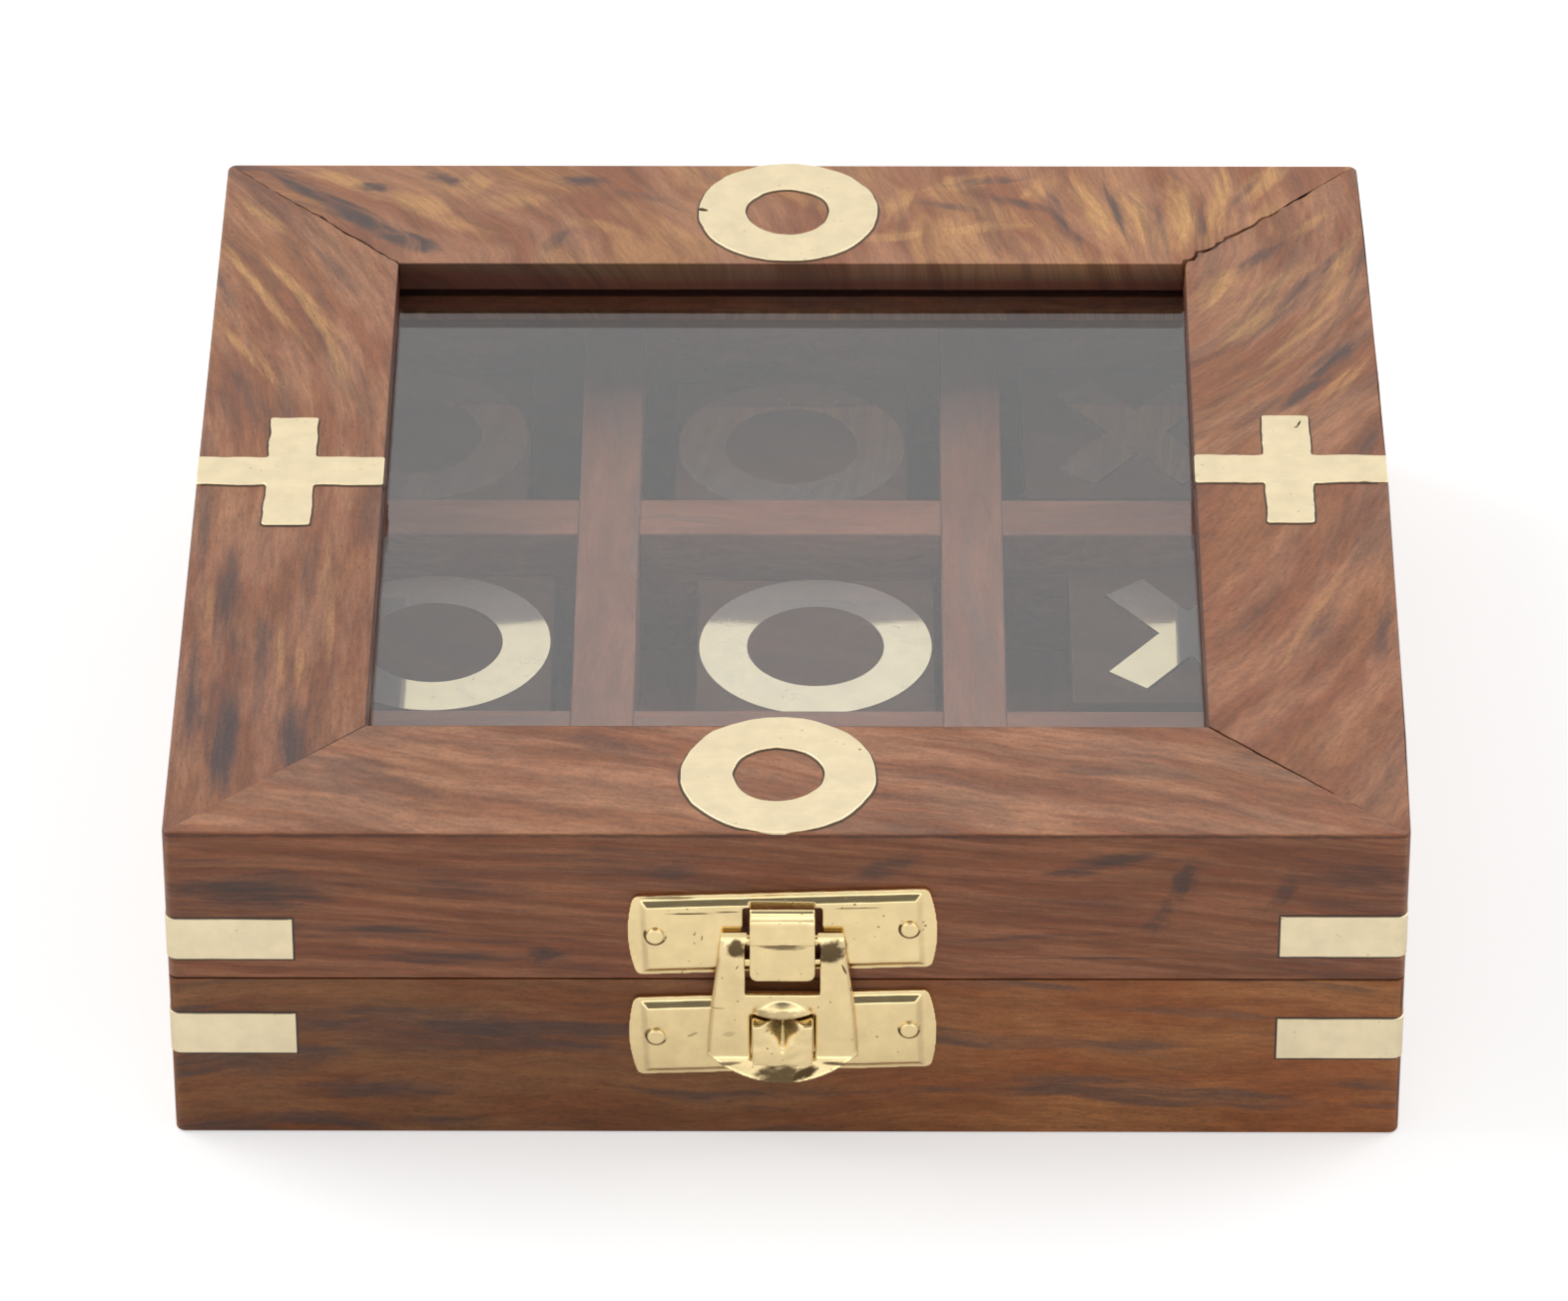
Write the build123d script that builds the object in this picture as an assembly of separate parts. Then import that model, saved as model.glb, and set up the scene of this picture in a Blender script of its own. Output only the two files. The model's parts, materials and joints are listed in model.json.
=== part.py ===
from build123d import *
import os
from math import cos, radians, sin, tan

# A small hinged wooden box for noughts and crosses, with a glass window in its lid, brass
# inlays, a pressed brass latch and nine loose playing pieces in nine compartments.
# All sizes are millimetres. X runs to the right, Y to the back and Z up. The origin is the
# middle of the underside, and the latch is on the front, at -Y.

# Outside of the box
WIDTH = 152.0
DEPTH = 152.0
BASE_HEIGHT = 23.9
LID_HEIGHT = 22.0
SEAM = 0.3  # open line between the two rims
WALL = 7.5
RIGHT_CROWN = 0.8  # how far the hand-sanded right side bulges at its middle
CORNER_ROUND = 1.2  # upright corners
EDGE_ROUND = 0.5  # edges of the top and of the underside

# Lid frame and glass
RAIL_SIDE = 24.0
RAIL_FRONT = 22.5
RAIL_BACK = 24.7
FLANGE = 9.0  # thickness of the rails beside the window
LIP = 4.0  # wood that stays above the glass
REBATE = 3.3  # how far the glass reaches under the rails
GLASS = 3.0
GLASS_GAP = 0.15  # play round the edge of the glass

# Inside of the base
FLOOR = 3.9
FLOOR_REBATE = 3.5
DIVIDER = 8.0
DIVIDER_OFFSET = 23.85  # from the middle of the box to the middle of a divider
DIVIDER_DROP = 1.3  # the dividers end this far below the rim of the base

# Brass let into the lid
INLAY = 1.2
INLAY_PROUD = 0.25  # how far an inlay stands above the wood
RING_OUTER = 24.0
RING_HOLE = 11.2
RING_SHIFT = {"front": -1.0, "back": -0.5}
RING_EDGE = 0.1  # from the outer edge of the lid to the ring
PLUS_SPAN = 24.4
PLUS_BAR = 6.2
PLUS_SHIFT = {"left": 2.2, "right": 3.0}

# Brass straps round the corners
STRAP = 0.8
STRAP_PROUD = 0.12
STRAP_LENGTH = 15.5
STRAP_HEIGHT = 6.1
LID_STRAP_RISE = {"front_left": 6.05, "front_right": 6.65, "back_left": 6.3, "back_right": 6.5}
BASE_STRAP_DROP = {"front_left": 8.45, "front_right": 9.05, "back_left": 8.8, "back_right": 8.6}

# Hinges: the axis lies just inside the back, and bevels along the back edges stop the lid
HINGE_END = 31.0  # from the side of the box to the middle of a hinge
HINGE_WIDTH = 22.0
HINGE_INSET = 1.2
OPEN_ANGLE = 100.0
KNUCKLES = 5
KNUCKLE_R = 1.6
KNUCKLE_GAP = 0.2
LEAF = 1.0
LEAF_REACH = 5.4  # from the axis to the inner edge of a leaf
LEAF_FIT = 0.1
PIN_R = 0.8
PIN_GAP = 0.05
PIN_HEAD = 0.35
PIN_HEAD_R = 1.15
SCOOP_GAP = 0.3  # air between the knuckles and the wood
HINGE_SCREW_X = 7.0
HINGE_SCREW_R = 0.65
HINGE_SCREW_HEAD_R = 1.25
HINGE_SCREW_LENGTH = 6.5
DRIVER_SLOT = 0.3

# Latch plates
LATCH_X = -0.45
PLATE = 0.6  # thickness of the pressed sheet
PLATE_WIDTH = 38.0
PLATE_HEIGHT = 11.9
PLATE_TILT = 2.0  # the plates are nailed on slightly askew
PLATE_END_BOW = 0.9
PLATE_CORNER = 1.0
FIELD_RISE = 0.7  # how far the middle of a plate is pressed out
FIELD_BEVEL = 0.9
RIM_END = 1.6
RIM_EDGE = 0.5
LID_PLATE_RISE = 7.65
BASE_PLATE_DROP = 7.8
NAIL_X = 15.6
NAIL_LIFT = 0.5  # how far a nail is above the middle of its plate
NAIL_R = 0.6
NAIL_HEAD_R = 1.15
NAIL_HEAD = 0.4
NAIL_GRIP = 6.0  # how far a nail goes into the wood

# Hasp, and the tongue that holds it
HASP = 1.1
HASP_AXIS_RISE = 7.85
HASP_AXIS_OUT = 2.2
BAR_R = 0.75
BAR_GAP = 0.2
HASP_TOP_HALF = 7.55
HASP_SIDE_BOW = 0.25
HASP_BOTTOM_HALF = 9.35
HASP_LENGTH = 18.0  # from the axis to the bend of the lip
HASP_EDGE_BEVEL = 0.5
HASP_LIP = 3.65
HASP_LIP_ANGLE = 30.0
HASP_WINDOW_HALF = 4.6
HASP_WINDOW_END = 8.3
HASP_SLOT_HALF = 4.0
HASP_SLOT_TOP = 11.3
DOME_R = 6.25
DOME_RISE = 1.4
DOME_DROP = 13.1
TONGUE = 0.8
TONGUE_HALF = 4.0
TONGUE_ROOT_RISE = 4.7
TONGUE_SHOULDER_RISE = 3.4
TONGUE_DROP = 5.45
TONGUE_CREASE = 0.2
TONGUE_CORNER = 1.0
TONGUE_HOLE_SIDE = 0.75
TONGUE_HOLE_DROP = 3.9

# Catch on the lower plate, which the slot of the hasp drops over
CATCH_GAP = 0.25
CATCH_OUT = 3.55  # how far it stands out of its plate
CATCH_ROUND = 0.45
CATCH_GROOVE_FALL = 52.0
CATCH_GROOVE_ANGLE = 45.0

# Playing pieces
TILE = 30.8
TILE_HEIGHT = 13.6
TILE_SEAT = 0.15  # air under a piece, which lies loose on the floor
TILE_SIDE_GAP = 0.3
TILE_ROUND = 0.5
SYMBOL = 1.0
SYMBOL_PROUD = 0.25
NOUGHT_OUTER = 30.2
NOUGHT_HOLE = 17.8
CROSS_LENGTH = 26.6
CROSS_BAR = 6.1
CROSS_ANGLE = 52.0  # between a bar and the X axis
CUT_OVER = 1.0  # how far a cutting block passes the face that it opens

# Column and row of each piece, and how far it leans across its compartment, from -1 to 1
PIECES = {
    "front_left": ("cross", -1, -1, 0.1, -0.3),
    "front_centre": ("nought", 0, -1, -0.3, 0.4),
    "front_right": ("cross", 1, -1, -0.2, -0.1),
    "middle_left": ("nought", -1, 0, 0.43, 0.43),
    "middle_centre": ("nought", 0, 0, 0.81, 0.25),
    "middle_right": ("cross", 1, 0, 0.82, 0.99),
    "back_left": ("nought", -1, 1, -0.48, 0.33),
    "back_centre": ("nought", 0, 1, 0.0, -0.16),
    "back_right": ("cross", 1, 1, -0.42, 0.61),
}

# Places that follow from the sizes above
FRONT_Y = -DEPTH / 2
BACK_Y = DEPTH / 2
INNER_X = WIDTH / 2 - WALL
INNER_Y = DEPTH / 2 - WALL
SEAM_Z = BASE_HEIGHT + SEAM / 2
LID_Z = BASE_HEIGHT + SEAM
TOP_Z = LID_Z + LID_HEIGHT
FLANGE_Z = TOP_Z - FLANGE
GLASS_TOP_Z = TOP_Z - LIP
GLASS_Z = GLASS_TOP_Z - GLASS
WINDOW_X = WIDTH / 2 - RAIL_SIDE
WINDOW_FRONT = FRONT_Y + RAIL_FRONT
WINDOW_BACK = BACK_Y - RAIL_BACK
HINGE_X = WIDTH / 2 - HINGE_END
HINGE_Y = BACK_Y - HINGE_INSET
LEAF_Y = HINGE_Y - LEAF_REACH
KNUCKLE_CLEAR_Y = HINGE_Y - KNUCKLE_R - SCOOP_GAP
HINGE_SCREW_Y = (LEAF_Y + KNUCKLE_CLEAR_Y) / 2
HASP_Z = SEAM_Z + HASP_AXIS_RISE
CATCH_TOP_Z = HASP_Z - HASP_SLOT_TOP - CATCH_GAP
CATCH_BOTTOM_Z = HASP_Z - HASP_LENGTH + CATCH_GAP
SIDES = ("front", "back", "left", "right")
CORNERS = {"front_left": (-1, -1), "front_right": (1, -1), "back_left": (-1, 1), "back_right": (1, 1)}


# Shared helpers

def slab(x0, x1, y0, y1, z0, z1):
    """A block between two opposite corners."""
    return Pos((x0 + x1) / 2, (y0 + y1) / 2, (z0 + z1) / 2) * Box(x1 - x0, y1 - y0, z1 - z0)


def rod(x, y, z, radius, length):
    """A round rod along X with its middle at the given point."""
    return Pos(x, y, z) * Rot(0, 90, 0) * Cylinder(radius, length)


def outline(grow=0.0):
    """The box seen from above: square with rounded corners and one bulged side."""
    x, y = WIDTH / 2, DEPTH / 2
    straight = Polyline((x, y), (-x, y), (-x, -y), (x, -y))
    bulged = ThreePointArc((x, -y), (x + RIGHT_CROWN, 0), (x, y))
    face = make_face([*straight.edges(), *bulged.edges()])
    face = fillet(face.vertices(), CORNER_ROUND)
    return offset(face, grow) if grow else face


def standing(face, z0, z1):
    """A flat outline stood up between two heights."""
    return extrude(Pos(0, 0, z0) * face, z1 - z0, dir=(0, 0, 1))


def mitred(frame, x0, x1, y0, y1, z0, z1):
    """A frame sawn into four along lines from its outer corners to those of its opening."""
    reach = 1.5

    def beyond(inner_x, inner_y, side_x, side_y):
        outer_x, outer_y = side_x * WIDTH / 2, side_y * DEPTH / 2
        return (inner_x + (outer_x - inner_x) * reach, inner_y + (outer_y - inner_y) * reach)

    inner = {"front_left": (x0, y0), "front_right": (x1, y0), "back_left": (x0, y1), "back_right": (x1, y1)}
    outer = {name: beyond(*inner[name], *CORNERS[name]) for name in CORNERS}
    ends = {
        "front": ("front_left", "front_right"),
        "back": ("back_left", "back_right"),
        "left": ("front_left", "back_left"),
        "right": ("front_right", "back_right"),
    }
    parts = {}
    for side, (a, b) in ends.items():
        wedge = make_face(Polyline(outer[a], inner[a], inner[b], outer[b], close=True))
        parts[side] = frame & standing(wedge, z0 - CUT_OVER, z1 + CUT_OVER)
    return parts


def front_plane(x, z, out=0.0, tilt=0.0):
    """An upright plane on the front of the box that looks out of it, with its own y axis up."""
    turn = radians(tilt)
    return Plane(origin=(x, FRONT_Y - out, z), x_dir=(cos(turn), 0, sin(turn)), z_dir=(0, -1, 0))


# Straps and inlays

def strap_ring(corner, z, inside, outside):
    """The band of material between two offsets of the outline, at one corner."""
    side_x, side_y = CORNERS[corner]
    z0, z1 = z - STRAP_HEIGHT / 2, z + STRAP_HEIGHT / 2
    band = standing(outline(outside), z0, z1) - standing(outline(-inside), z0, z1)
    reach_x, reach_y = WIDTH / 2 - STRAP_LENGTH, DEPTH / 2 - STRAP_LENGTH
    far = 2 * STRAP_LENGTH
    corner_block = slab(*sorted((side_x * reach_x, side_x * (reach_x + far))),
                        *sorted((side_y * reach_y, side_y * (reach_y + far))), z0, z1)
    return band & corner_block


def strap(corner, z):
    """One L-shaped brass strap, let in nearly flush."""
    return strap_ring(corner, z, STRAP, STRAP_PROUD)


def strap_pocket(corner, z):
    """The recess in the wood for one strap."""
    return strap_ring(corner, z, STRAP, CUT_OVER)


def ring_place(side):
    """Middle of a lid ring, just inside the outer edge of its rail."""
    y = DEPTH / 2 - RING_EDGE - RING_OUTER / 2
    return RING_SHIFT[side], y if side == "back" else -y


def ring(side, z0, z1):
    """A flat ring on the front or back rail."""
    x, y = ring_place(side)
    face = Pos(x, y) * (Circle(RING_OUTER / 2) - Circle(RING_HOLE / 2))
    return standing(face, z0, z1) & standing(outline(), z0, z1)


def plus(side, z0, z1):
    """An upright cross on a side rail, as wide as the rail."""
    sign = 1 if side == "right" else -1
    middle = sign * (WIDTH / 2 - RAIL_SIDE / 2)
    bar = RAIL_SIDE + 2 * RIGHT_CROWN
    face = Pos(middle + sign * RIGHT_CROWN, PLUS_SHIFT[side]) * Rectangle(bar, PLUS_BAR)
    face += Pos(middle, PLUS_SHIFT[side]) * Rectangle(PLUS_BAR, PLUS_SPAN)
    rail = slab(*sorted((sign * WINDOW_X, sign * WIDTH)), FRONT_Y, BACK_Y, z0, z1)
    return standing(face, z0, z1) & standing(outline(), z0, z1) & rail


def lid_inlay(kind, side):
    """The brass of one lid inlay."""
    z0 = TOP_Z + INLAY_PROUD - INLAY
    return kind(side, z0, z0 + INLAY)


def lid_inlay_pocket(kind, side):
    """The recess for one lid inlay."""
    return kind(side, TOP_Z + INLAY_PROUD - INLAY, TOP_Z + CUT_OVER)


# Hinges

def knuckle_span(index):
    """The two ends of a knuckle, measured from the middle of its hinge."""
    pitch = HINGE_WIDTH / KNUCKLES
    start = -HINGE_WIDTH / 2 + index * pitch
    return start + KNUCKLE_GAP / 2, start + pitch - KNUCKLE_GAP / 2


def lower_leaf(x, owned):
    """A leaf let into the base rim, with its own knuckles round the pin."""
    z0, z1 = BASE_HEIGHT - LEAF, BASE_HEIGHT
    leaf = slab(x - HINGE_WIDTH / 2, x + HINGE_WIDTH / 2, LEAF_Y, KNUCKLE_CLEAR_Y, z0, z1)
    for index in owned:
        start, end = knuckle_span(index)
        leaf += slab(x + start, x + end, KNUCKLE_CLEAR_Y, HINGE_Y, z0, z1)
        leaf += rod(x + (start + end) / 2, HINGE_Y, SEAM_Z, KNUCKLE_R, end - start)
    leaf -= rod(x, HINGE_Y, SEAM_Z, PIN_R + PIN_GAP, HINGE_WIDTH + 2 * CUT_OVER)
    for screw_x in (-HINGE_SCREW_X, HINGE_SCREW_X):
        leaf -= lower_screw_blank(x + screw_x)
    return leaf


def lower_screw_blank(x):
    """A countersunk screw without its driver slot, head up and flush with the base rim."""
    head = HINGE_SCREW_HEAD_R - HINGE_SCREW_R
    shank = Cylinder(HINGE_SCREW_R, HINGE_SCREW_LENGTH, align=(Align.CENTER, Align.CENTER, Align.MAX))
    cone = Cone(HINGE_SCREW_R, HINGE_SCREW_HEAD_R, head, align=(Align.CENTER, Align.CENTER, Align.MAX))
    return Pos(x, HINGE_SCREW_Y, BASE_HEIGHT) * (shank + cone)


def lower_screw(x):
    """A countersunk hinge screw with its slot."""
    depth = (HINGE_SCREW_HEAD_R - HINGE_SCREW_R) / 2
    slot = slab(x - HINGE_SCREW_HEAD_R, x + HINGE_SCREW_HEAD_R, HINGE_SCREW_Y - DRIVER_SLOT / 2,
                HINGE_SCREW_Y + DRIVER_SLOT / 2, BASE_HEIGHT - depth, BASE_HEIGHT + CUT_OVER)
    return lower_screw_blank(x) - slot


def over_seam(shape):
    """The same shape on the other side of the seam."""
    return mirror(shape, about=Plane(origin=(0, 0, SEAM_Z), z_dir=(0, 0, 1)))


def hinge_pin(x):
    """A pin with both ends hammered over."""
    pin = rod(x, HINGE_Y, SEAM_Z, PIN_R, HINGE_WIDTH + 2 * PIN_HEAD)
    for side in (-1, 1):
        pin += rod(x + side * (HINGE_WIDTH + PIN_HEAD) / 2, HINGE_Y, SEAM_Z, PIN_HEAD_R, PIN_HEAD)
    return pin


def base_hinge_cuts():
    """What the hinges take out of the base rim: recesses, screw holes and room for the knuckles."""
    cuts = []
    for x in (-HINGE_X, HINGE_X):
        half = HINGE_WIDTH / 2 + LEAF_FIT
        cuts.append(slab(x - half, x + half, LEAF_Y - LEAF_FIT, HINGE_Y, BASE_HEIGHT - LEAF, SEAM_Z))
        cuts.append(rod(x, HINGE_Y, SEAM_Z, KNUCKLE_R + SCOOP_GAP, HINGE_WIDTH + 2 * (PIN_HEAD + SCOOP_GAP)))
        cuts += [lower_screw_blank(x + screw_x) for screw_x in (-HINGE_SCREW_X, HINGE_SCREW_X)]
    return cuts


def base_back_bevel():
    """The bevel along the top of the back: it meets the lid's when the lid is fully open."""
    out_y = BACK_Y + CUT_OVER
    low_z = BASE_HEIGHT - (out_y - HINGE_Y) * tan(radians(OPEN_ANGLE / 2))
    section = Polyline((0, HINGE_Y, BASE_HEIGHT), (0, HINGE_Y, SEAM_Z), (0, out_y, SEAM_Z),
                       (0, out_y, low_z), close=True)
    return extrude(make_face(section), WIDTH, dir=(1, 0, 0), both=True)


# Latch

def plate_face(width, height):
    """Outline of a latch plate, with its two ends bowed outwards."""
    x, y = width / 2, height / 2
    shoulder = x - PLATE_END_BOW
    edges = [
        Line((-shoulder, y), (shoulder, y)),
        ThreePointArc((shoulder, y), (x, 0), (shoulder, -y)),
        Line((shoulder, -y), (-shoulder, -y)),
        ThreePointArc((-shoulder, -y), (-x, 0), (-shoulder, y)),
    ]
    face = make_face([edge for line in edges for edge in line.edges()])
    return fillet(face.vertices(), PLATE_CORNER)


def raised_field(plane, out0, out1, width, height):
    """The part of a plate that the press pushes out, as a block with sloping sides."""
    low = plane.offset(out0) * Rectangle(width, height)
    high = plane.offset(out1) * Rectangle(width - 2 * FIELD_BEVEL, height - 2 * FIELD_BEVEL)
    return loft([low.face(), high.face()])


def pressed_plate(z):
    """A brass sheet with a flat rim on the wood and a hollow raised middle."""
    plane = front_plane(LATCH_X, z, tilt=PLATE_TILT)
    width, height = PLATE_WIDTH - 2 * RIM_END, PLATE_HEIGHT - 2 * RIM_EDGE
    plate = extrude(plane * plate_face(PLATE_WIDTH, PLATE_HEIGHT), PLATE)
    plate += raised_field(plane, PLATE, PLATE + FIELD_RISE, width, height)
    plate -= raised_field(plane, 0, FIELD_RISE, width, height)
    for x in (-NAIL_X, NAIL_X):
        plate -= extrude(plane * Pos(x, NAIL_LIFT) * Circle(NAIL_R), PLATE + FIELD_RISE + CUT_OVER)
    return plate


def nails(z):
    """The two nails of a latch plate, with low domed heads."""
    plane = front_plane(LATCH_X, z, tilt=PLATE_TILT)
    seat = PLATE + FIELD_RISE
    pair = []
    for x in (-NAIL_X, NAIL_X):
        shank = extrude(plane.offset(-NAIL_GRIP) * Pos(x, NAIL_LIFT) * Circle(NAIL_R), NAIL_GRIP + seat)
        head = extrude(plane.offset(seat) * Pos(x, NAIL_LIFT) * Circle(NAIL_HEAD_R), NAIL_HEAD)
        head = fillet(head.edges().sort_by(Axis.Y)[0], NAIL_HEAD * 0.8)
        pair.append(shank + head)
    return pair


def nail_holes(z):
    """The holes that the nails of a plate make in the wood."""
    plane = front_plane(LATCH_X, z, tilt=PLATE_TILT)
    return [extrude(plane.offset(-NAIL_GRIP) * Pos(x, NAIL_LIFT) * Circle(NAIL_R), NAIL_GRIP + CUT_OVER)
            for x in (-NAIL_X, NAIL_X)]


def tongue():
    """The strip of the upper plate that is bent out, over the bar of the hasp and down."""
    inner = HASP_AXIS_OUT + BAR_R + BAR_GAP
    outer = inner + TONGUE
    sheet = PLATE + FIELD_RISE
    root, shoulder, tip = HASP_Z + TONGUE_ROOT_RISE, HASP_Z + TONGUE_SHOULDER_RISE, HASP_Z - TONGUE_DROP
    crease, inside_crease = HASP_Z, HASP_Z - BAR_R

    def at(out, z):
        return (LATCH_X - TONGUE_HALF, FRONT_Y - out, z)

    bend = (outer - sheet) * (1 - cos(radians(45)))
    rise = (root - shoulder) * sin(radians(45))
    outside = ThreePointArc(at(sheet, root), at(outer - bend, shoulder + rise), at(outer, shoulder))
    inside_root, inside_top = root - TONGUE, shoulder
    inside_rise = (inside_root - inside_top) * sin(radians(45))
    inside_bend = (inner - sheet) * (1 - cos(radians(45)))
    inside = ThreePointArc(at(inner, inside_top), at(inner - inside_bend, inside_top + inside_rise),
                           at(sheet, inside_root))
    low_inner = inner - TONGUE_CREASE / 2
    front = Polyline(at(outer, shoulder), at(outer, crease + TONGUE_CREASE),
                     at(outer - 1.6 * TONGUE_CREASE, crease), at(outer - TONGUE_CREASE, crease - TONGUE_CREASE),
                     at(outer - TONGUE_CREASE, tip), at(low_inner, tip),
                     at(low_inner, inside_crease - TONGUE_CREASE), at(inner, inside_crease),
                     at(inner, inside_top))
    back = Polyline(at(sheet, inside_root), at(FIELD_RISE, inside_root), at(FIELD_RISE, root), at(sheet, root))
    lines = [*outside.edges(), *front.edges(), *inside.edges(), *back.edges()]
    strip = extrude(make_face(lines), 2 * TONGUE_HALF, dir=(1, 0, 0))
    tip_edges = strip.edges().filter_by(Axis.Y).group_by(Axis.Z)[0]
    return fillet(tip_edges, TONGUE_CORNER)


def latch_plate():
    """The plate on the lid, with the hole that the tongue is bent out of."""
    hole_top = HASP_Z + TONGUE_ROOT_RISE - TONGUE
    half = TONGUE_HALF + TONGUE_HOLE_SIDE
    hole = slab(LATCH_X - half, LATCH_X + half, FRONT_Y - PLATE - FIELD_RISE - CUT_OVER, FRONT_Y,
                HASP_Z - TONGUE_HOLE_DROP, hole_top)
    return pressed_plate(SEAM_Z + LID_PLATE_RISE) - hole + tongue()


def catch():
    """The knob of the lower plate, with a V groove that falls forwards."""
    half = HASP_SLOT_HALF - CATCH_GAP
    seat = FRONT_Y - PLATE - FIELD_RISE
    knob = slab(LATCH_X - half, LATCH_X + half, seat - CATCH_OUT, seat, CATCH_BOTTOM_Z, CATCH_TOP_Z)
    knob = fillet(knob.faces().sort_by(Axis.Y)[0].edges(), CATCH_ROUND)
    size = 4 * half
    corner = Rot(0, CATCH_GROOVE_ANGLE, 0) * Box(size, size * 2, size, align=(Align.MIN, Align.CENTER, Align.MIN))
    groove = Pos(LATCH_X, seat, CATCH_TOP_Z) * Rot(CATCH_GROOVE_FALL, 0, 0) * Rot(0, -90, 0) * corner
    return knob - groove


def catch_plate():
    """The plate on the base, in one piece with the catch."""
    return pressed_plate(SEAM_Z - BASE_PLATE_DROP) + catch()


def hasp():
    """The swinging plate of the latch: bar, window round the tongue, slot for the catch and lip."""
    back_out = HASP_AXIS_OUT - HASP / 2
    plane = front_plane(LATCH_X, HASP_Z, back_out)
    top, low = HASP_TOP_HALF, HASP_BOTTOM_HALF
    bowed = (top + low) / 2 + HASP_SIDE_BOW
    mid = -HASP_LENGTH / 2
    lines = [
        Line((-top, 0), (top, 0)),
        ThreePointArc((top, 0), (bowed, mid), (low, -HASP_LENGTH)),
        Line((low, -HASP_LENGTH), (-low, -HASP_LENGTH)),
        ThreePointArc((-low, -HASP_LENGTH), (-bowed, mid), (-top, 0)),
    ]
    sheet = extrude(plane * make_face([edge for line in lines for edge in line.edges()]), HASP)
    face_edges = sheet.faces().sort_by(Axis.Y)[0].edges()
    side_edges = [edge for edge in face_edges if abs(edge.center().X - LATCH_X) > HASP_TOP_HALF]
    sheet = chamfer(side_edges, HASP_EDGE_BEVEL)
    lean = radians(HASP_LIP_ANGLE)
    lip_plane = Plane(origin=(LATCH_X, FRONT_Y - back_out, HASP_Z - HASP_LENGTH), x_dir=(1, 0, 0),
                      z_dir=(0, -cos(lean), sin(lean)))
    lip_lines = [Line((-low, 0), (low, 0)), ThreePointArc((low, 0), (0, -HASP_LIP), (-low, 0))]
    sheet += extrude(lip_plane * make_face([edge for line in lip_lines for edge in line.edges()]), HASP)
    sheet += rod(LATCH_X, FRONT_Y - HASP_AXIS_OUT, HASP_Z, BAR_R, 2 * HASP_TOP_HALF)
    dome_y = FRONT_Y - back_out - HASP - DOME_RISE + DOME_R
    dome_at = Pos(LATCH_X, dome_y, HASP_Z - DOME_DROP)
    front_half = slab(LATCH_X - low, LATCH_X + low, FRONT_Y - 2 * DOME_R, FRONT_Y - back_out, 0, HASP_Z)
    sheet += (dome_at * Sphere(DOME_R)) & front_half
    sheet -= dome_at * Sphere(DOME_R - HASP)
    through = (FRONT_Y - 2 * DOME_R, FRONT_Y)
    sheet -= slab(LATCH_X - HASP_WINDOW_HALF, LATCH_X + HASP_WINDOW_HALF, *through,
                  HASP_Z - HASP_WINDOW_END, HASP_Z - BAR_R)
    sheet -= slab(LATCH_X - HASP_SLOT_HALF, LATCH_X + HASP_SLOT_HALF, *through,
                  HASP_Z - HASP_LENGTH, HASP_Z - HASP_SLOT_TOP)
    return sheet


# Wooden frames

def lid_rails():
    """The lid's four rails, cut for the glass, the inlays, the straps, the hinges and the latch."""
    frame = standing(outline(), LID_Z, TOP_Z)
    frame = fillet(frame.edges().group_by(Axis.Z)[-1], EDGE_ROUND)
    frame -= slab(-INNER_X, INNER_X, -INNER_Y, INNER_Y, LID_Z - CUT_OVER, FLANGE_Z)
    frame -= slab(-WINDOW_X - REBATE, WINDOW_X + REBATE, WINDOW_FRONT - REBATE, WINDOW_BACK + REBATE,
                  FLANGE_Z - CUT_OVER, GLASS_TOP_Z)
    frame -= slab(-WINDOW_X, WINDOW_X, WINDOW_FRONT, WINDOW_BACK, FLANGE_Z, TOP_Z + CUT_OVER)
    frame -= over_seam(base_back_bevel())
    cuts = [over_seam(cut) for cut in base_hinge_cuts()]
    cuts += [lid_inlay_pocket(ring, side) for side in RING_SHIFT]
    cuts += [lid_inlay_pocket(plus, side) for side in PLUS_SHIFT]
    cuts += [strap_pocket(corner, SEAM_Z + rise) for corner, rise in LID_STRAP_RISE.items()]
    cuts += nail_holes(SEAM_Z + LID_PLATE_RISE)
    for cut in cuts:
        frame -= cut
    return mitred(frame, -WINDOW_X, WINDOW_X, WINDOW_FRONT, WINDOW_BACK, LID_Z, TOP_Z)


def glass_beads():
    """Four thin strips that hold the glass up against the lip of the rails."""
    x, front, back = WINDOW_X, WINDOW_FRONT, WINDOW_BACK
    frame = slab(-x - REBATE, x + REBATE, front - REBATE, back + REBATE, FLANGE_Z, GLASS_Z)
    frame -= slab(-x, x, front, back, FLANGE_Z - CUT_OVER, GLASS_Z + CUT_OVER)
    return mitred(frame, -x, x, front, back, FLANGE_Z, GLASS_Z)


def window_glass():
    """The pane, a little smaller than its rebate."""
    reach = REBATE - GLASS_GAP
    return slab(-WINDOW_X - reach, WINDOW_X + reach, WINDOW_FRONT - reach, WINDOW_BACK + reach,
                GLASS_Z, GLASS_TOP_Z)


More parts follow.
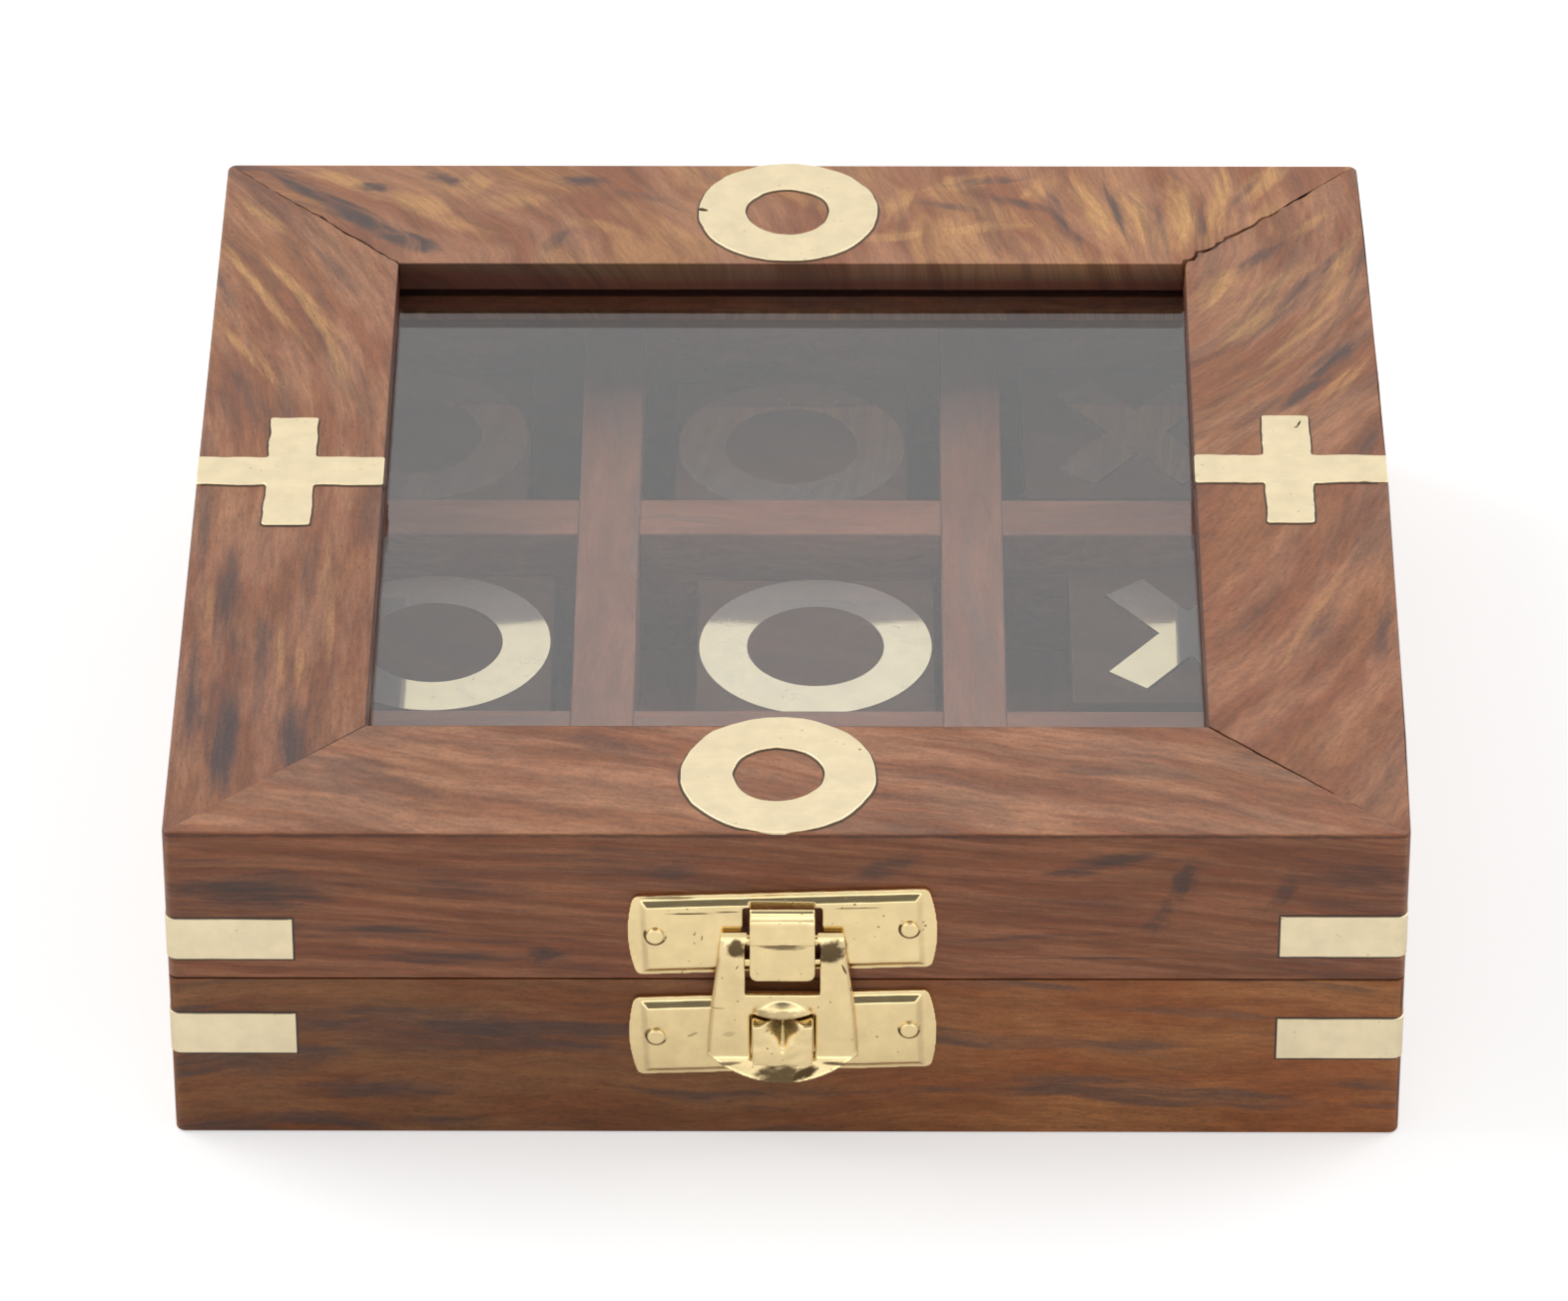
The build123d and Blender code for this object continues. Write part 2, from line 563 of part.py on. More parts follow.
def base_walls():
    """The base's four walls, rebated below for the floor and cut for the brass."""
    frame = standing(outline(), 0, BASE_HEIGHT)
    frame = fillet(frame.edges().group_by(Axis.Z)[0], EDGE_ROUND)
    frame -= slab(-INNER_X, INNER_X, -INNER_Y, INNER_Y, -CUT_OVER, BASE_HEIGHT + CUT_OVER)
    reach_x, reach_y = INNER_X + FLOOR_REBATE, INNER_Y + FLOOR_REBATE
    frame -= slab(-reach_x, reach_x, -reach_y, reach_y, -CUT_OVER, FLOOR)
    frame -= base_back_bevel()
    cuts = base_hinge_cuts()
    cuts += [strap_pocket(corner, SEAM_Z - drop) for corner, drop in BASE_STRAP_DROP.items()]
    cuts += nail_holes(SEAM_Z - BASE_PLATE_DROP)
    for cut in cuts:
        frame -= cut
    return mitred(frame, -INNER_X, INNER_X, -INNER_Y, INNER_Y, 0, BASE_HEIGHT)


def floor_panel():
    """The bottom, glued flush into the rebate of the walls."""
    reach_x, reach_y = INNER_X + FLOOR_REBATE, INNER_Y + FLOOR_REBATE
    return slab(-reach_x, reach_x, -reach_y, reach_y, 0, FLOOR)


def dividers():
    """Two strips each way, halved over each other where they cross."""
    half = DIVIDER / 2
    top = BASE_HEIGHT - DIVIDER_DROP
    middle_z = (FLOOR + top) / 2
    parts = {}
    for name, sign in (("left", -1), ("right", 1)):
        x = sign * DIVIDER_OFFSET
        strip = slab(x - half, x + half, -INNER_Y, INNER_Y, FLOOR, top)
        for y in (-DIVIDER_OFFSET, DIVIDER_OFFSET):
            strip -= slab(x - half, x + half, y - half, y + half, FLOOR - CUT_OVER, middle_z)
        parts[name] = strip
    for name, sign in (("front", -1), ("back", 1)):
        y = sign * DIVIDER_OFFSET
        strip = slab(-INNER_X, INNER_X, y - half, y + half, FLOOR, top)
        for x in (-DIVIDER_OFFSET, DIVIDER_OFFSET):
            strip -= slab(x - half, x + half, y - half, y + half, middle_z, BASE_HEIGHT + CUT_OVER)
        parts[name] = strip
    return parts


# Playing pieces

def cell(index, inner):
    """Middle and width of a compartment along one axis."""
    near = DIVIDER_OFFSET - DIVIDER / 2
    if index == 0:
        return 0.0, 2 * near
    low = DIVIDER_OFFSET + DIVIDER / 2
    return index * (low + inner) / 2, inner - low


def tile_place(column, row, lean_x, lean_y):
    """Where a loose piece lies in its compartment."""
    middle_x, width_x = cell(column, INNER_X)
    middle_y, width_y = cell(row, INNER_Y)
    slack_x = (width_x - TILE) / 2 - TILE_SIDE_GAP
    slack_y = (width_y - TILE) / 2 - TILE_SIDE_GAP
    return middle_x + lean_x * slack_x, middle_y + lean_y * slack_y


def symbol_face(kind):
    """A nought or a cross, flat."""
    if kind == "nought":
        return Circle(NOUGHT_OUTER / 2) - Circle(NOUGHT_HOLE / 2)
    bar = Rectangle(CROSS_LENGTH, CROSS_BAR)
    return Rot(0, 0, CROSS_ANGLE) * bar + Rot(0, 0, -CROSS_ANGLE) * bar


def tile(kind, x, y):
    """A wooden playing piece with the recess for its symbol."""
    half = TILE / 2
    bottom = FLOOR + TILE_SEAT
    top = bottom + TILE_HEIGHT
    block = slab(x - half, x + half, y - half, y + half, bottom, top)
    block = fillet(block.edges().filter_by(Axis.Z), TILE_ROUND)
    recess = Pos(x, y, 0) * symbol_face(kind)
    return block - standing(recess, top + SYMBOL_PROUD - SYMBOL, top + CUT_OVER)


def symbol(kind, x, y):
    """The brass symbol of a playing piece."""
    top = FLOOR + TILE_SEAT + TILE_HEIGHT + SYMBOL_PROUD
    return standing(Pos(x, y, 0) * symbol_face(kind), top - SYMBOL, top)


# The whole box

def build():
    """Every piece of the box, by name."""
    parts = {}
    for side, rail in lid_rails().items():
        parts[f"lid_rail_{side}"] = rail
    parts["window_glass"] = window_glass()
    for side, bead in glass_beads().items():
        parts[f"glass_bead_{side}"] = bead
    for side in RING_SHIFT:
        parts[f"lid_ring_{side}"] = lid_inlay(ring, side)
    for side in PLUS_SHIFT:
        parts[f"lid_plus_{side}"] = lid_inlay(plus, side)
    for corner, rise in LID_STRAP_RISE.items():
        parts[f"lid_strap_{corner}"] = strap(corner, SEAM_Z + rise)
    parts["latch_plate"] = latch_plate()
    parts["latch_plate_nails"] = nails(SEAM_Z + LID_PLATE_RISE)
    parts["latch_hasp"] = hasp()

    for side, wall in base_walls().items():
        parts[f"base_wall_{side}"] = wall
    parts["floor_panel"] = floor_panel()
    for name, strip in dividers().items():
        parts[f"divider_{name}"] = strip
    for corner, drop in BASE_STRAP_DROP.items():
        parts[f"base_strap_{corner}"] = strap(corner, SEAM_Z - drop)
    parts["catch_plate"] = catch_plate()
    parts["catch_plate_nails"] = nails(SEAM_Z - BASE_PLATE_DROP)

    hinges = {"left": -HINGE_X, "right": HINGE_X}
    screws = [lower_screw(x + shift) for x in hinges.values() for shift in (-HINGE_SCREW_X, HINGE_SCREW_X)]
    for name, x in hinges.items():
        parts[f"hinge_lower_leaf_{name}"] = lower_leaf(x, range(0, KNUCKLES, 2))
        parts[f"hinge_upper_leaf_{name}"] = over_seam(lower_leaf(x, range(1, KNUCKLES, 2)))
    parts["hinge_lower_screws"] = screws
    parts["hinge_upper_screws"] = [over_seam(screw) for screw in screws]
    parts["hinge_pins"] = [hinge_pin(x) for x in hinges.values()]

    for name, (kind, column, row, lean_x, lean_y) in PIECES.items():
        x, y = tile_place(column, row, lean_x, lean_y)
        parts[f"tile_{name}"] = tile(kind, x, y)
        parts[f"{kind}_{name}"] = symbol(kind, x, y)
    return parts


def solids_of(shape):
    """The solids of a shape or of a list of shapes."""
    shapes = shape if isinstance(shape, list) else [shape]
    return [solid for one in shapes for solid in one.solids()]


os.makedirs("parts", exist_ok=True)
for node, shape in build().items():
    found = solids_of(shape)
    export_step(found[0] if len(found) == 1 else Compound(children=found), f"parts/{node}.step")
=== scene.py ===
# %% [markdown]
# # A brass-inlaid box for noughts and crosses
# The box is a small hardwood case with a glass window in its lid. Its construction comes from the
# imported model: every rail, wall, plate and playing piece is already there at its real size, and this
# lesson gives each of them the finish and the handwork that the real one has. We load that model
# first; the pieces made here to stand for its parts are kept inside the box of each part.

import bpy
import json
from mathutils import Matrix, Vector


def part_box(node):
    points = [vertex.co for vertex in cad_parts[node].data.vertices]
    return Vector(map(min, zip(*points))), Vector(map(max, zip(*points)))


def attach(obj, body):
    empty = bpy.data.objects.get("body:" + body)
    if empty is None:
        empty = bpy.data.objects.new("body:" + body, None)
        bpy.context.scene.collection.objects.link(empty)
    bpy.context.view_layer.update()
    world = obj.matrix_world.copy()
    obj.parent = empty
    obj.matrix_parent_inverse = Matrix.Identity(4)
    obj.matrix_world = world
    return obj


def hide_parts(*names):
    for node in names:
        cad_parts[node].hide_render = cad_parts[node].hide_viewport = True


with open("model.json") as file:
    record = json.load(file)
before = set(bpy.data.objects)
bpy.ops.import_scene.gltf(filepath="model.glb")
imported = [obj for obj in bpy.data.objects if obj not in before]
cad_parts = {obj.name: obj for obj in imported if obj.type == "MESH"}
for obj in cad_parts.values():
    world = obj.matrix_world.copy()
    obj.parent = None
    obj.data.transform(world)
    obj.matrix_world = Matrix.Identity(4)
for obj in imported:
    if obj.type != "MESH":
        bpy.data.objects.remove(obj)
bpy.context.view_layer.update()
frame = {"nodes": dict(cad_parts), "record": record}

# %% Units, names and who rides on what
import json
import math

import bmesh
import bpy
from mathutils import Matrix, Vector, noise

MM = 0.001
scene = bpy.context.scene
nodes = frame["nodes"]
BODY_OF = {node: body for body, members in frame["record"]["behaviour"]["bodies"].items() for node in members}
SLOT_OF = {part["node"]: part["material_slot"] for part in frame["record"]["subparts"]}
CORNERS = ("front_left", "front_right", "back_left", "back_right")

# %% Heights and edges that the finishes need
LID_LOW, LID_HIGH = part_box("lid_rail_front")
TOP_Z = LID_HIGH.z
FRONT_Y = LID_LOW.y
BACK_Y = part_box("lid_rail_back")[1].y
LEFT_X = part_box("lid_rail_left")[0].x
RIGHT_X = -LEFT_X
WINDOW_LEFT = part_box("glass_bead_left")[1].x
WINDOW_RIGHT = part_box("glass_bead_right")[0].x
WINDOW_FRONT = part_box("glass_bead_front")[1].y
WINDOW_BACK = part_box("glass_bead_back")[0].y
print("lid top at", round(TOP_Z / MM, 2), "mm; window", round((WINDOW_RIGHT - WINDOW_LEFT) / MM, 1), "by",
      round((WINDOW_BACK - WINDOW_FRONT) / MM, 1), "mm")

# %% [markdown]
# ## Camera
# The photograph was taken from well above the front of the box with a long lens, which is why its
# sides hardly converge. The place and the angles below were fitted to the corners of the box, so
# the render can be laid over the photograph. A small turn and a small roll are part of that fit.

# %% Camera
CAMERA_PLACE = Vector((6.45, -997.4, 724.8)) * MM
LOOK_DOWN = 35.255
TURN = 0.412
ROLL = -0.153
LENS = 216.1


def new_object(name, data):
    """An object that stands in the scene."""
    thing = bpy.data.objects.new(name, data)
    scene.collection.objects.link(thing)
    return thing


camera_data = bpy.data.cameras.new("camera")
camera_data.sensor_width = 36.0
camera_data.lens = LENS
camera = new_object("camera", camera_data)
turn = Matrix.Rotation(math.radians(TURN), 4, "Z")
tilt = Matrix.Rotation(math.radians(90 - LOOK_DOWN), 4, "X")
roll = Matrix.Rotation(math.radians(ROLL), 4, "Z")
camera.matrix_world = Matrix.Translation(CAMERA_PLACE) @ turn @ tilt @ roll
scene.camera = camera
print("camera is", round(CAMERA_PLACE.length, 3), "m from the middle of the underside")

# %% [markdown]
# ## Short ways to wire nodes
# Materials here are networks of some twenty nodes. A small wrapper keeps them readable: it adds a
# node, feeds its inputs with values or with other sockets, and hands back the socket that is used
# next. The same wrapper builds the shared groups and the materials.

# %% Node wiring helper
class Wiring:
    """A node tree with short ways to add to it."""

    def __init__(self, tree):
        self.tree = tree

    def add(self, kind, inputs=None, **settings):
        """A node with its settings and inputs filled in."""
        node = self.tree.nodes.new(kind)
        for name, value in settings.items():
            setattr(node, name, value)
        for name, value in (inputs or {}).items():
            self.feed(node.inputs[name], value)
        return node

    def feed(self, socket, value):
        """Links a socket or sets its value."""
        if isinstance(value, bpy.types.NodeSocket):
            self.tree.links.new(value, socket)
        else:
            socket.default_value = value

    def maths(self, operation, first, second=0.0, third=0.0):
        """A sum, product or other operation on values."""
        return self.add("ShaderNodeMath", {0: first, 1: second, 2: third}, operation=operation).outputs[0]

    def times(self, first, second):
        """A product of two values."""
        return self.maths("MULTIPLY", first, second)

    def vectors(self, operation, first, second=(0.0, 0.0, 0.0)):
        """The same on vectors; a length or a product of directions comes out as a value."""
        node = self.add("ShaderNodeVectorMath", {0: first}, operation=operation)
        self.feed(node.inputs["Scale" if operation == "SCALE" else 1], second)
        return node.outputs["Value" if operation in ("LENGTH", "DOT_PRODUCT") else "Vector"]

    def step(self, value, low, high, to_low=0.0, to_high=1.0):
        """A soft step: to_low below low, to_high above high."""
        node = self.add("ShaderNodeMapRange", {"Value": value, "From Min": low, "From Max": high,
                                               "To Min": to_low, "To Max": to_high},
                        interpolation_type="SMOOTHSTEP")
        return node.outputs["Result"]

    def speckle(self, vector, scale, detail=2.0, roughness=0.5):
        """Cloudy noise from 0 to 1."""
        node = self.add("ShaderNodeTexNoise", {"Vector": vector, "Scale": scale, "Detail": detail,
                                               "Roughness": roughness})
        return node.outputs["Fac"]

    def sway(self, vector, scale, reach, **noise_settings):
        """A smooth random vector that leans to all sides, by up to half of reach."""
        node = self.add("ShaderNodeTexNoise", {"Vector": vector, "Scale": scale, **noise_settings})
        return self.vectors("SCALE", self.vectors("SUBTRACT", node.outputs["Color"], (0.5, 0.5, 0.5)), reach)

    def blend(self, share, first, second, how="MIX"):
        """One colour laid over another."""
        node = self.add("ShaderNodeMix", {"Factor": share}, data_type="RGBA", blend_type=how)
        self.feed(node.inputs[6], first)
        self.feed(node.inputs[7], second)
        return node.outputs[2]

    def brighten(self, colour, level):
        """A colour times a value, which darkens it where the value is below 1."""
        return self.blend(1.0, colour, self.join(level, level, level), "MULTIPLY")

    def join(self, x, y, z):
        """A vector from three values."""
        return self.add("ShaderNodeCombineXYZ", {"X": x, "Y": y, "Z": z}).outputs["Vector"]

    def split(self, vector):
        """The three values of a vector."""
        return self.add("ShaderNodeSeparateXYZ", {"Vector": vector}).outputs

    def find(self, kind):
        """The node of some kind that the tree starts with."""
        return next(node for node in self.tree.nodes if node.type == kind)

# %% Shader groups and materials
SOCKETS = {"value": "NodeSocketFloat", "colour": "NodeSocketColor", "vector": "NodeSocketVector"}


def new_group(name, inputs, outputs):
    """A shader group: each input has its usual value, or None for a vector, and each output its kind."""
    tree = bpy.data.node_groups.new(name, "ShaderNodeTree")
    for label, usual in inputs.items():
        kind = "vector" if usual is None else "colour" if isinstance(usual, tuple) else "value"
        socket = tree.interface.new_socket(name=label, in_out="INPUT", socket_type=SOCKETS[kind])
        if usual is not None:
            socket.default_value = usual
    for label, kind in outputs.items():
        tree.interface.new_socket(name=label, in_out="OUTPUT", socket_type=SOCKETS[kind])
    wiring = Wiring(tree)
    return wiring, wiring.add("NodeGroupInput").outputs, wiring.add("NodeGroupOutput")


def new_material(name, **fixed):
    """A material with a Principled shader whose plain settings are fixed values."""
    material = bpy.data.materials.new(name)
    material.use_nodes = True
    wiring = Wiring(material.node_tree)
    shader = wiring.find("BSDF_PRINCIPLED")
    for label, value in fixed.items():
        shader.inputs[label.replace("_", " ")].default_value = value
    return material, wiring, shader


def place_group(wiring, group, inputs):
    """A shared group inside a material."""
    node = wiring.add("ShaderNodeGroup", node_tree=bpy.data.node_groups[group])
    for label, value in inputs.items():
        wiring.feed(node.inputs[label], value)
    return node.outputs


def object_place(wiring):
    """Object coordinates, which are the frame's own metres on every piece."""
    return wiring.add("ShaderNodeTexCoord").outputs["Object"]

# %% [markdown]
# ## Floor, background and light
# The photograph has a pure white ground. Here the world is white for the camera, for reflections and
# through glass, and a softer grey for the light that it gives, so the wood keeps its colour. The
# brass needs something dark to reflect as well, or it looks like plastic: a real photographer and
# camera stand in front of the box, and the world has a dim patch there that only reflections see.
# Below that patch, a bright strip like the edge of a table gives the upright brass its shine.

# %% World
AMBIENT = 0.42
DARK_SIDE = Vector((0.0, -0.67, 0.743)).normalized()
DARK_EDGE, DARK_CORE = math.cos(math.radians(27)), math.cos(math.radians(18))
DARK_LEVEL = 0.16
STRIP_LOW, STRIP_HIGH = math.sin(math.radians(2)), math.sin(math.radians(20))
STRIP_FADE_LOW, STRIP_FADE_HIGH = 0.03, 0.05
STRIP_SIDE_START, STRIP_SIDE_FULL = -0.6, -0.85
STRIP_LEVEL = 0.9

world = bpy.data.worlds.new("studio")
scene.world = world
world.use_nodes = True
sky = Wiring(world.node_tree)
background = sky.find("BACKGROUND")
path = sky.add("ShaderNodeLightPath").outputs
towards = sky.add("ShaderNodeTexCoord").outputs["Generated"]
facing = sky.vectors("DOT_PRODUCT", towards, tuple(DARK_SIDE))
mirror_level = sky.step(facing, DARK_EDGE, DARK_CORE, 1.0, DARK_LEVEL)
towards_y, towards_z = sky.split(towards)[1:3]
above = sky.step(towards_z, STRIP_LOW - STRIP_FADE_LOW, STRIP_LOW + STRIP_FADE_LOW)
below = sky.step(towards_z, STRIP_HIGH + STRIP_FADE_HIGH, STRIP_HIGH - STRIP_FADE_HIGH)
strip = sky.times(above, below)
strip = sky.times(strip, sky.step(towards_y, STRIP_SIDE_START, STRIP_SIDE_FULL))
mirror_level = sky.maths("MULTIPLY_ADD", strip, STRIP_LEVEL, mirror_level)
shown = sky.maths("MAXIMUM", path["Is Camera Ray"], path["Is Transmission Ray"])
mirror_gain = sky.maths("SUBTRACT", mirror_level, AMBIENT)
level = sky.maths("MULTIPLY_ADD", path["Is Glossy Ray"], mirror_gain, AMBIENT)
strength = sky.maths("MULTIPLY_ADD", shown, sky.maths("SUBTRACT", 1.0, level), level)
sky.feed(background.inputs["Color"], (1.0, 1.0, 1.0, 1.0))
sky.feed(background.inputs["Strength"], strength)
scene.view_settings.view_transform = "Standard"
print("world gives", AMBIENT, "of plain light and shows white")

# %% Soft lamps
LAMP_AIM = Vector((0.0, 0.0, 0.03))


def softbox(name, place, size, power):
    """A square lamp that faces the box."""
    data = bpy.data.lights.new(name, "AREA")
    data.shape = "SQUARE"
    data.size = size
    data.energy = power
    aim = (LAMP_AIM - Vector(place)).to_track_quat("-Z", "Y").to_matrix().to_4x4()
    new_object(name, data).matrix_world = Matrix.Translation(Vector(place)) @ aim


softbox("left_softbox", (-1.1, 0.35, 1.15), 1.1, 11.5)
softbox("right_softbox", (1.1, 0.45, 1.15), 1.1, 8.5)
print("two softboxes stand beside the box")

# %% Floor
PAPER = 0.72
PAPER_GLOW = 0.54
PAPER_IN_BRASS = 0.66
PAPER_REACH = 3.0


def mesh_of(name, shape):
    """A mesh made from a bmesh, which is then done with."""
    mesh = bpy.data.meshes.new(name)
    shape.to_mesh(mesh)
    shape.free()
    return mesh


def make_floor():
    """A wide pale sheet that shows white, apart from the soft shadow of the box."""
    shape = bmesh.new()
    bmesh.ops.create_grid(shape, x_segments=1, y_segments=1, size=PAPER_REACH)
    floor = new_object("floor", mesh_of("floor", shape))
    material, wiring, shader = new_material("white_paper", Roughness=0.9, Specular_IOR_Level=0.0,
                                            Base_Color=(PAPER, PAPER, PAPER, 1.0))
    rays = wiring.add("ShaderNodeLightPath").outputs
    seen = wiring.maths("MAXIMUM", rays["Is Camera Ray"], rays["Is Transmission Ray"])
    seen = wiring.maths("MAXIMUM", seen, wiring.times(rays["Is Glossy Ray"], PAPER_IN_BRASS))
    wiring.feed(shader.inputs["Emission Color"], (1.0, 1.0, 1.0, 1.0))
    wiring.feed(shader.inputs["Emission Strength"], wiring.times(seen, PAPER_GLOW))
    floor.data.materials.append(material)


make_floor()
print("floor is flat at z = 0")

# %% [markdown]
# ## Wood
# The box is made of an Indian rosewood: reddish brown boards with tan bands, golden patches and
# nearly black streaks, all of which follow the growth rings of the tree. A plank shows rings where
# its faces cut through nested shells round the heart of the tree, so the group below measures the
# distance from a heart point in a space that is drawn out along the grain, bends it with noise, and
# uses that one distance for everything: bands, streaks, fibres and pores. Each board then only
# needs its own heart point and direction, and its top, front and end faces agree with each other.

# %% Shells round the heart of the tree
SHIVER = 0.35
STRAIGHTENS_OVER = 12.0
SHELL_INPUTS = {
    "Vector": None,
    "Warp": 6.0,
    "Warp Size": 25.0,
    "Stretch": 1.0,
    "Straight From": 1000.0,
    "Straight Bend": 0.1,
}
shells, given, made = new_group("growth shells", SHELL_INPUTS, {"Shell": "value", "Along": "value"})
loose = shells.vectors("SCALE", given["Vector"], shells.maths("DIVIDE", 1.0, given["Warp Size"]))
bend = shells.sway(loose, 1.0, given["Warp"], Detail=2.0, Roughness=0.45)
shiver = shells.sway(given["Vector"], 0.25, SHIVER, Detail=2.0)
bent = shells.vectors("ADD", given["Vector"], shells.vectors("ADD", bend, shiver))
x, y, z = shells.split(bent)
beyond = shells.maths("SUBTRACT", shells.times(y, -1.0), given["Straight From"])
beyond = shells.maths("SMOOTH_MAX", beyond, 0.0, STRAIGHTENS_OVER)
eased = shells.maths("MULTIPLY_ADD", beyond, shells.maths("SUBTRACT", 1.0, given["Straight Bend"]), y)
squeezed = shells.maths("DIVIDE", eased, given["Stretch"])
shells.feed(made.inputs["Shell"], shells.vectors("LENGTH", shells.join(x, squeezed, z)))
shells.feed(made.inputs["Along"], y)
print("growth shells group made")

# %% Shared wood figure
WOOD_INPUTS = {
    "Shell": 0.0,
    "Along": 0.0,
    "Ring": 4.0,
    "Bands": 0.5,
    "Gold": 0.3,
    "Streaks": 0.5,
    "Lines": 0.5,
    "Fibres": 1.0,
    "Pores": 0.5,
    "Gold Marks": 0.0,
    "Dark Marks": 0.0,
    "Wood": (0.285, 0.112, 0.056, 1.0),
    "Pale": (0.402, 0.192, 0.108, 1.0),
    "Golden": (0.540, 0.290, 0.122, 1.0),
    "Dark": (0.098, 0.064, 0.057, 1.0),
}
wood, given, made = new_group("wood figure", WOOD_INPUTS, {"Color": "colour", "Roughness": "value",
                                                           "Height": "value"})


def grain_noise(wiring, shell, along, across_scale, along_scale, detail, shift=0.0):
    """Noise drawn out along the grain; the scales count features per millimetre."""
    place = wiring.join(wiring.maths("MULTIPLY_ADD", shell, across_scale, shift),
                        wiring.times(along, along_scale), 0.0)
    inputs = {"Vector": place, "Scale": 1.0, "Detail": detail, "Roughness": 0.6}
    return wiring.add("ShaderNodeTexNoise", inputs, noise_dimensions="2D").outputs["Fac"]


shell, along = given["Shell"], given["Along"]
ring_place = wood.maths("DIVIDE", shell, given["Ring"])
band = grain_noise(wood, ring_place, along, 1.0, 0.035, 3.0)
line = grain_noise(wood, shell, along, 0.52, 0.050, 3.0, 31.0)
fine = grain_noise(wood, shell, along, 2.3, 0.30, 2.0, 57.0)
fuzz = grain_noise(wood, shell, along, 4.0, 1.6, 2.0, 83.0)
patch = grain_noise(wood, shell, along, 0.10, 0.050, 2.0, 11.0)
streak = grain_noise(wood, shell, along, 0.20, 0.022, 2.0, 71.0)
print("grain noises made")

# %% Bands, golden patches and dark streaks
pale_share = wood.times(wood.step(band, 0.40, 0.62), given["Bands"])
gold_share = wood.times(wood.step(patch, 0.46, 0.66), given["Gold"])
gold_share = wood.maths("MAXIMUM", gold_share, given["Gold Marks"])
gold_share = wood.times(gold_share, wood.step(line, 0.32, 0.56, 0.52, 1.0))
dark_share = wood.times(wood.step(streak, 0.53, 0.66), given["Streaks"])
dark_share = wood.maths("MAXIMUM", dark_share, given["Dark Marks"])
dark_share = wood.times(dark_share, wood.step(line, 0.66, 0.44, 0.55, 1.0))
tone = wood.blend(pale_share, given["Wood"], given["Pale"])
tone = wood.blend(gold_share, tone, given["Golden"])
line_level = wood.maths("MULTIPLY_ADD", wood.step(line, 0.34, 0.66, -0.22, 0.22), given["Lines"], 1.0)
tone = wood.brighten(tone, line_level)
tone = wood.blend(dark_share, tone, given["Dark"])
print("bands, patches and streaks follow the shells")

# %% Fibres and pores
PORE = (0.120, 0.055, 0.038, 1.0)
fine_level = wood.step(fine, 0.25, 0.75, -0.14, 0.14)
fuzz_level = wood.step(fuzz, 0.2, 0.8, -0.11, 0.11)
fibre_level = wood.maths("ADD", fine_level, fuzz_level)
fibre_level = wood.maths("MULTIPLY_ADD", fibre_level, given["Fibres"], 1.0)
tone = wood.brighten(tone, fibre_level)


def pore_dashes(wiring, across_scale, along_scale, reach):
    """Short dark dashes that lie along the grain."""
    place = wiring.join(wiring.times(shell, across_scale),
                        wiring.times(along, along_scale), 0.0)
    cells = wiring.add("ShaderNodeTexVoronoi", {"Vector": place, "Scale": 1.0}, voronoi_dimensions="2D")
    return wiring.step(cells.outputs["Distance"], reach, reach * 0.2)


pore_area = wood.step(grain_noise(wood, shell, along, 0.09, 0.05, 2.0, 97.0), 0.40, 0.60)
big_pores = wood.times(pore_dashes(wood, 0.80, 0.22, 0.16), pore_area)
small_pores = wood.times(pore_dashes(wood, 1.7, 0.35, 0.20), 0.45)
pore = wood.times(wood.maths("MAXIMUM", big_pores, small_pores), given["Pores"])
tone = wood.blend(wood.times(pore, 0.75), tone, PORE)
relief = wood.maths("SUBTRACT", wood.times(fine, 0.4), pore)
polish = wood.maths("ADD", wood.step(fine, 0.2, 0.8, 0.38, 0.50), wood.times(pore, 0.2))
wood.feed(made.inputs["Color"], tone)
wood.feed(made.inputs["Roughness"], polish)
wood.feed(made.inputs["Height"], relief)
print("fibres and pores added")

# %% [markdown]
# ## Marks and dirty joints
# Noise alone never puts a streak where the real board has one. The largest golden and dark streaks
# are therefore listed one by one: each is a stretched spot with a ragged, soft edge, given by its
# middle, its turn and its half length and width. A second group draws the thin dark line of dirt
# that gathers where two pieces meet, and lets it fade along its run.

# %% A soft-edged mark in the grain
SPOT_SHIFT = 900.0
MARK_INPUTS = {
    "Vector": None,
    "Centre": None,
    "Turn": None,
    "Half": None,
    "Edge": 0.2,
    "Ragged": 1.6,
    "Strength": 1.0,
}
mark, given, made = new_group("grain mark", MARK_INPUTS, {"Mask": "value"})
spread = mark.add("ShaderNodeMapping", {"Vector": given["Vector"], "Location": given["Centre"],
                                        "Rotation": given["Turn"], "Scale": given["Half"]},
                  vector_type="TEXTURE").outputs[0]
own_place = mark.vectors("ADD", spread, mark.vectors("SCALE", given["Centre"], SPOT_SHIFT))
push = mark.sway(own_place, 1.5, given["Ragged"], Detail=4.0, Roughness=0.6)
reach = mark.vectors("LENGTH", mark.vectors("ADD", spread, push))
mask = mark.step(reach, 1.05, given["Edge"])
mark.feed(made.inputs["Mask"], mark.times(mask, given["Strength"]))
print("grain mark group made")
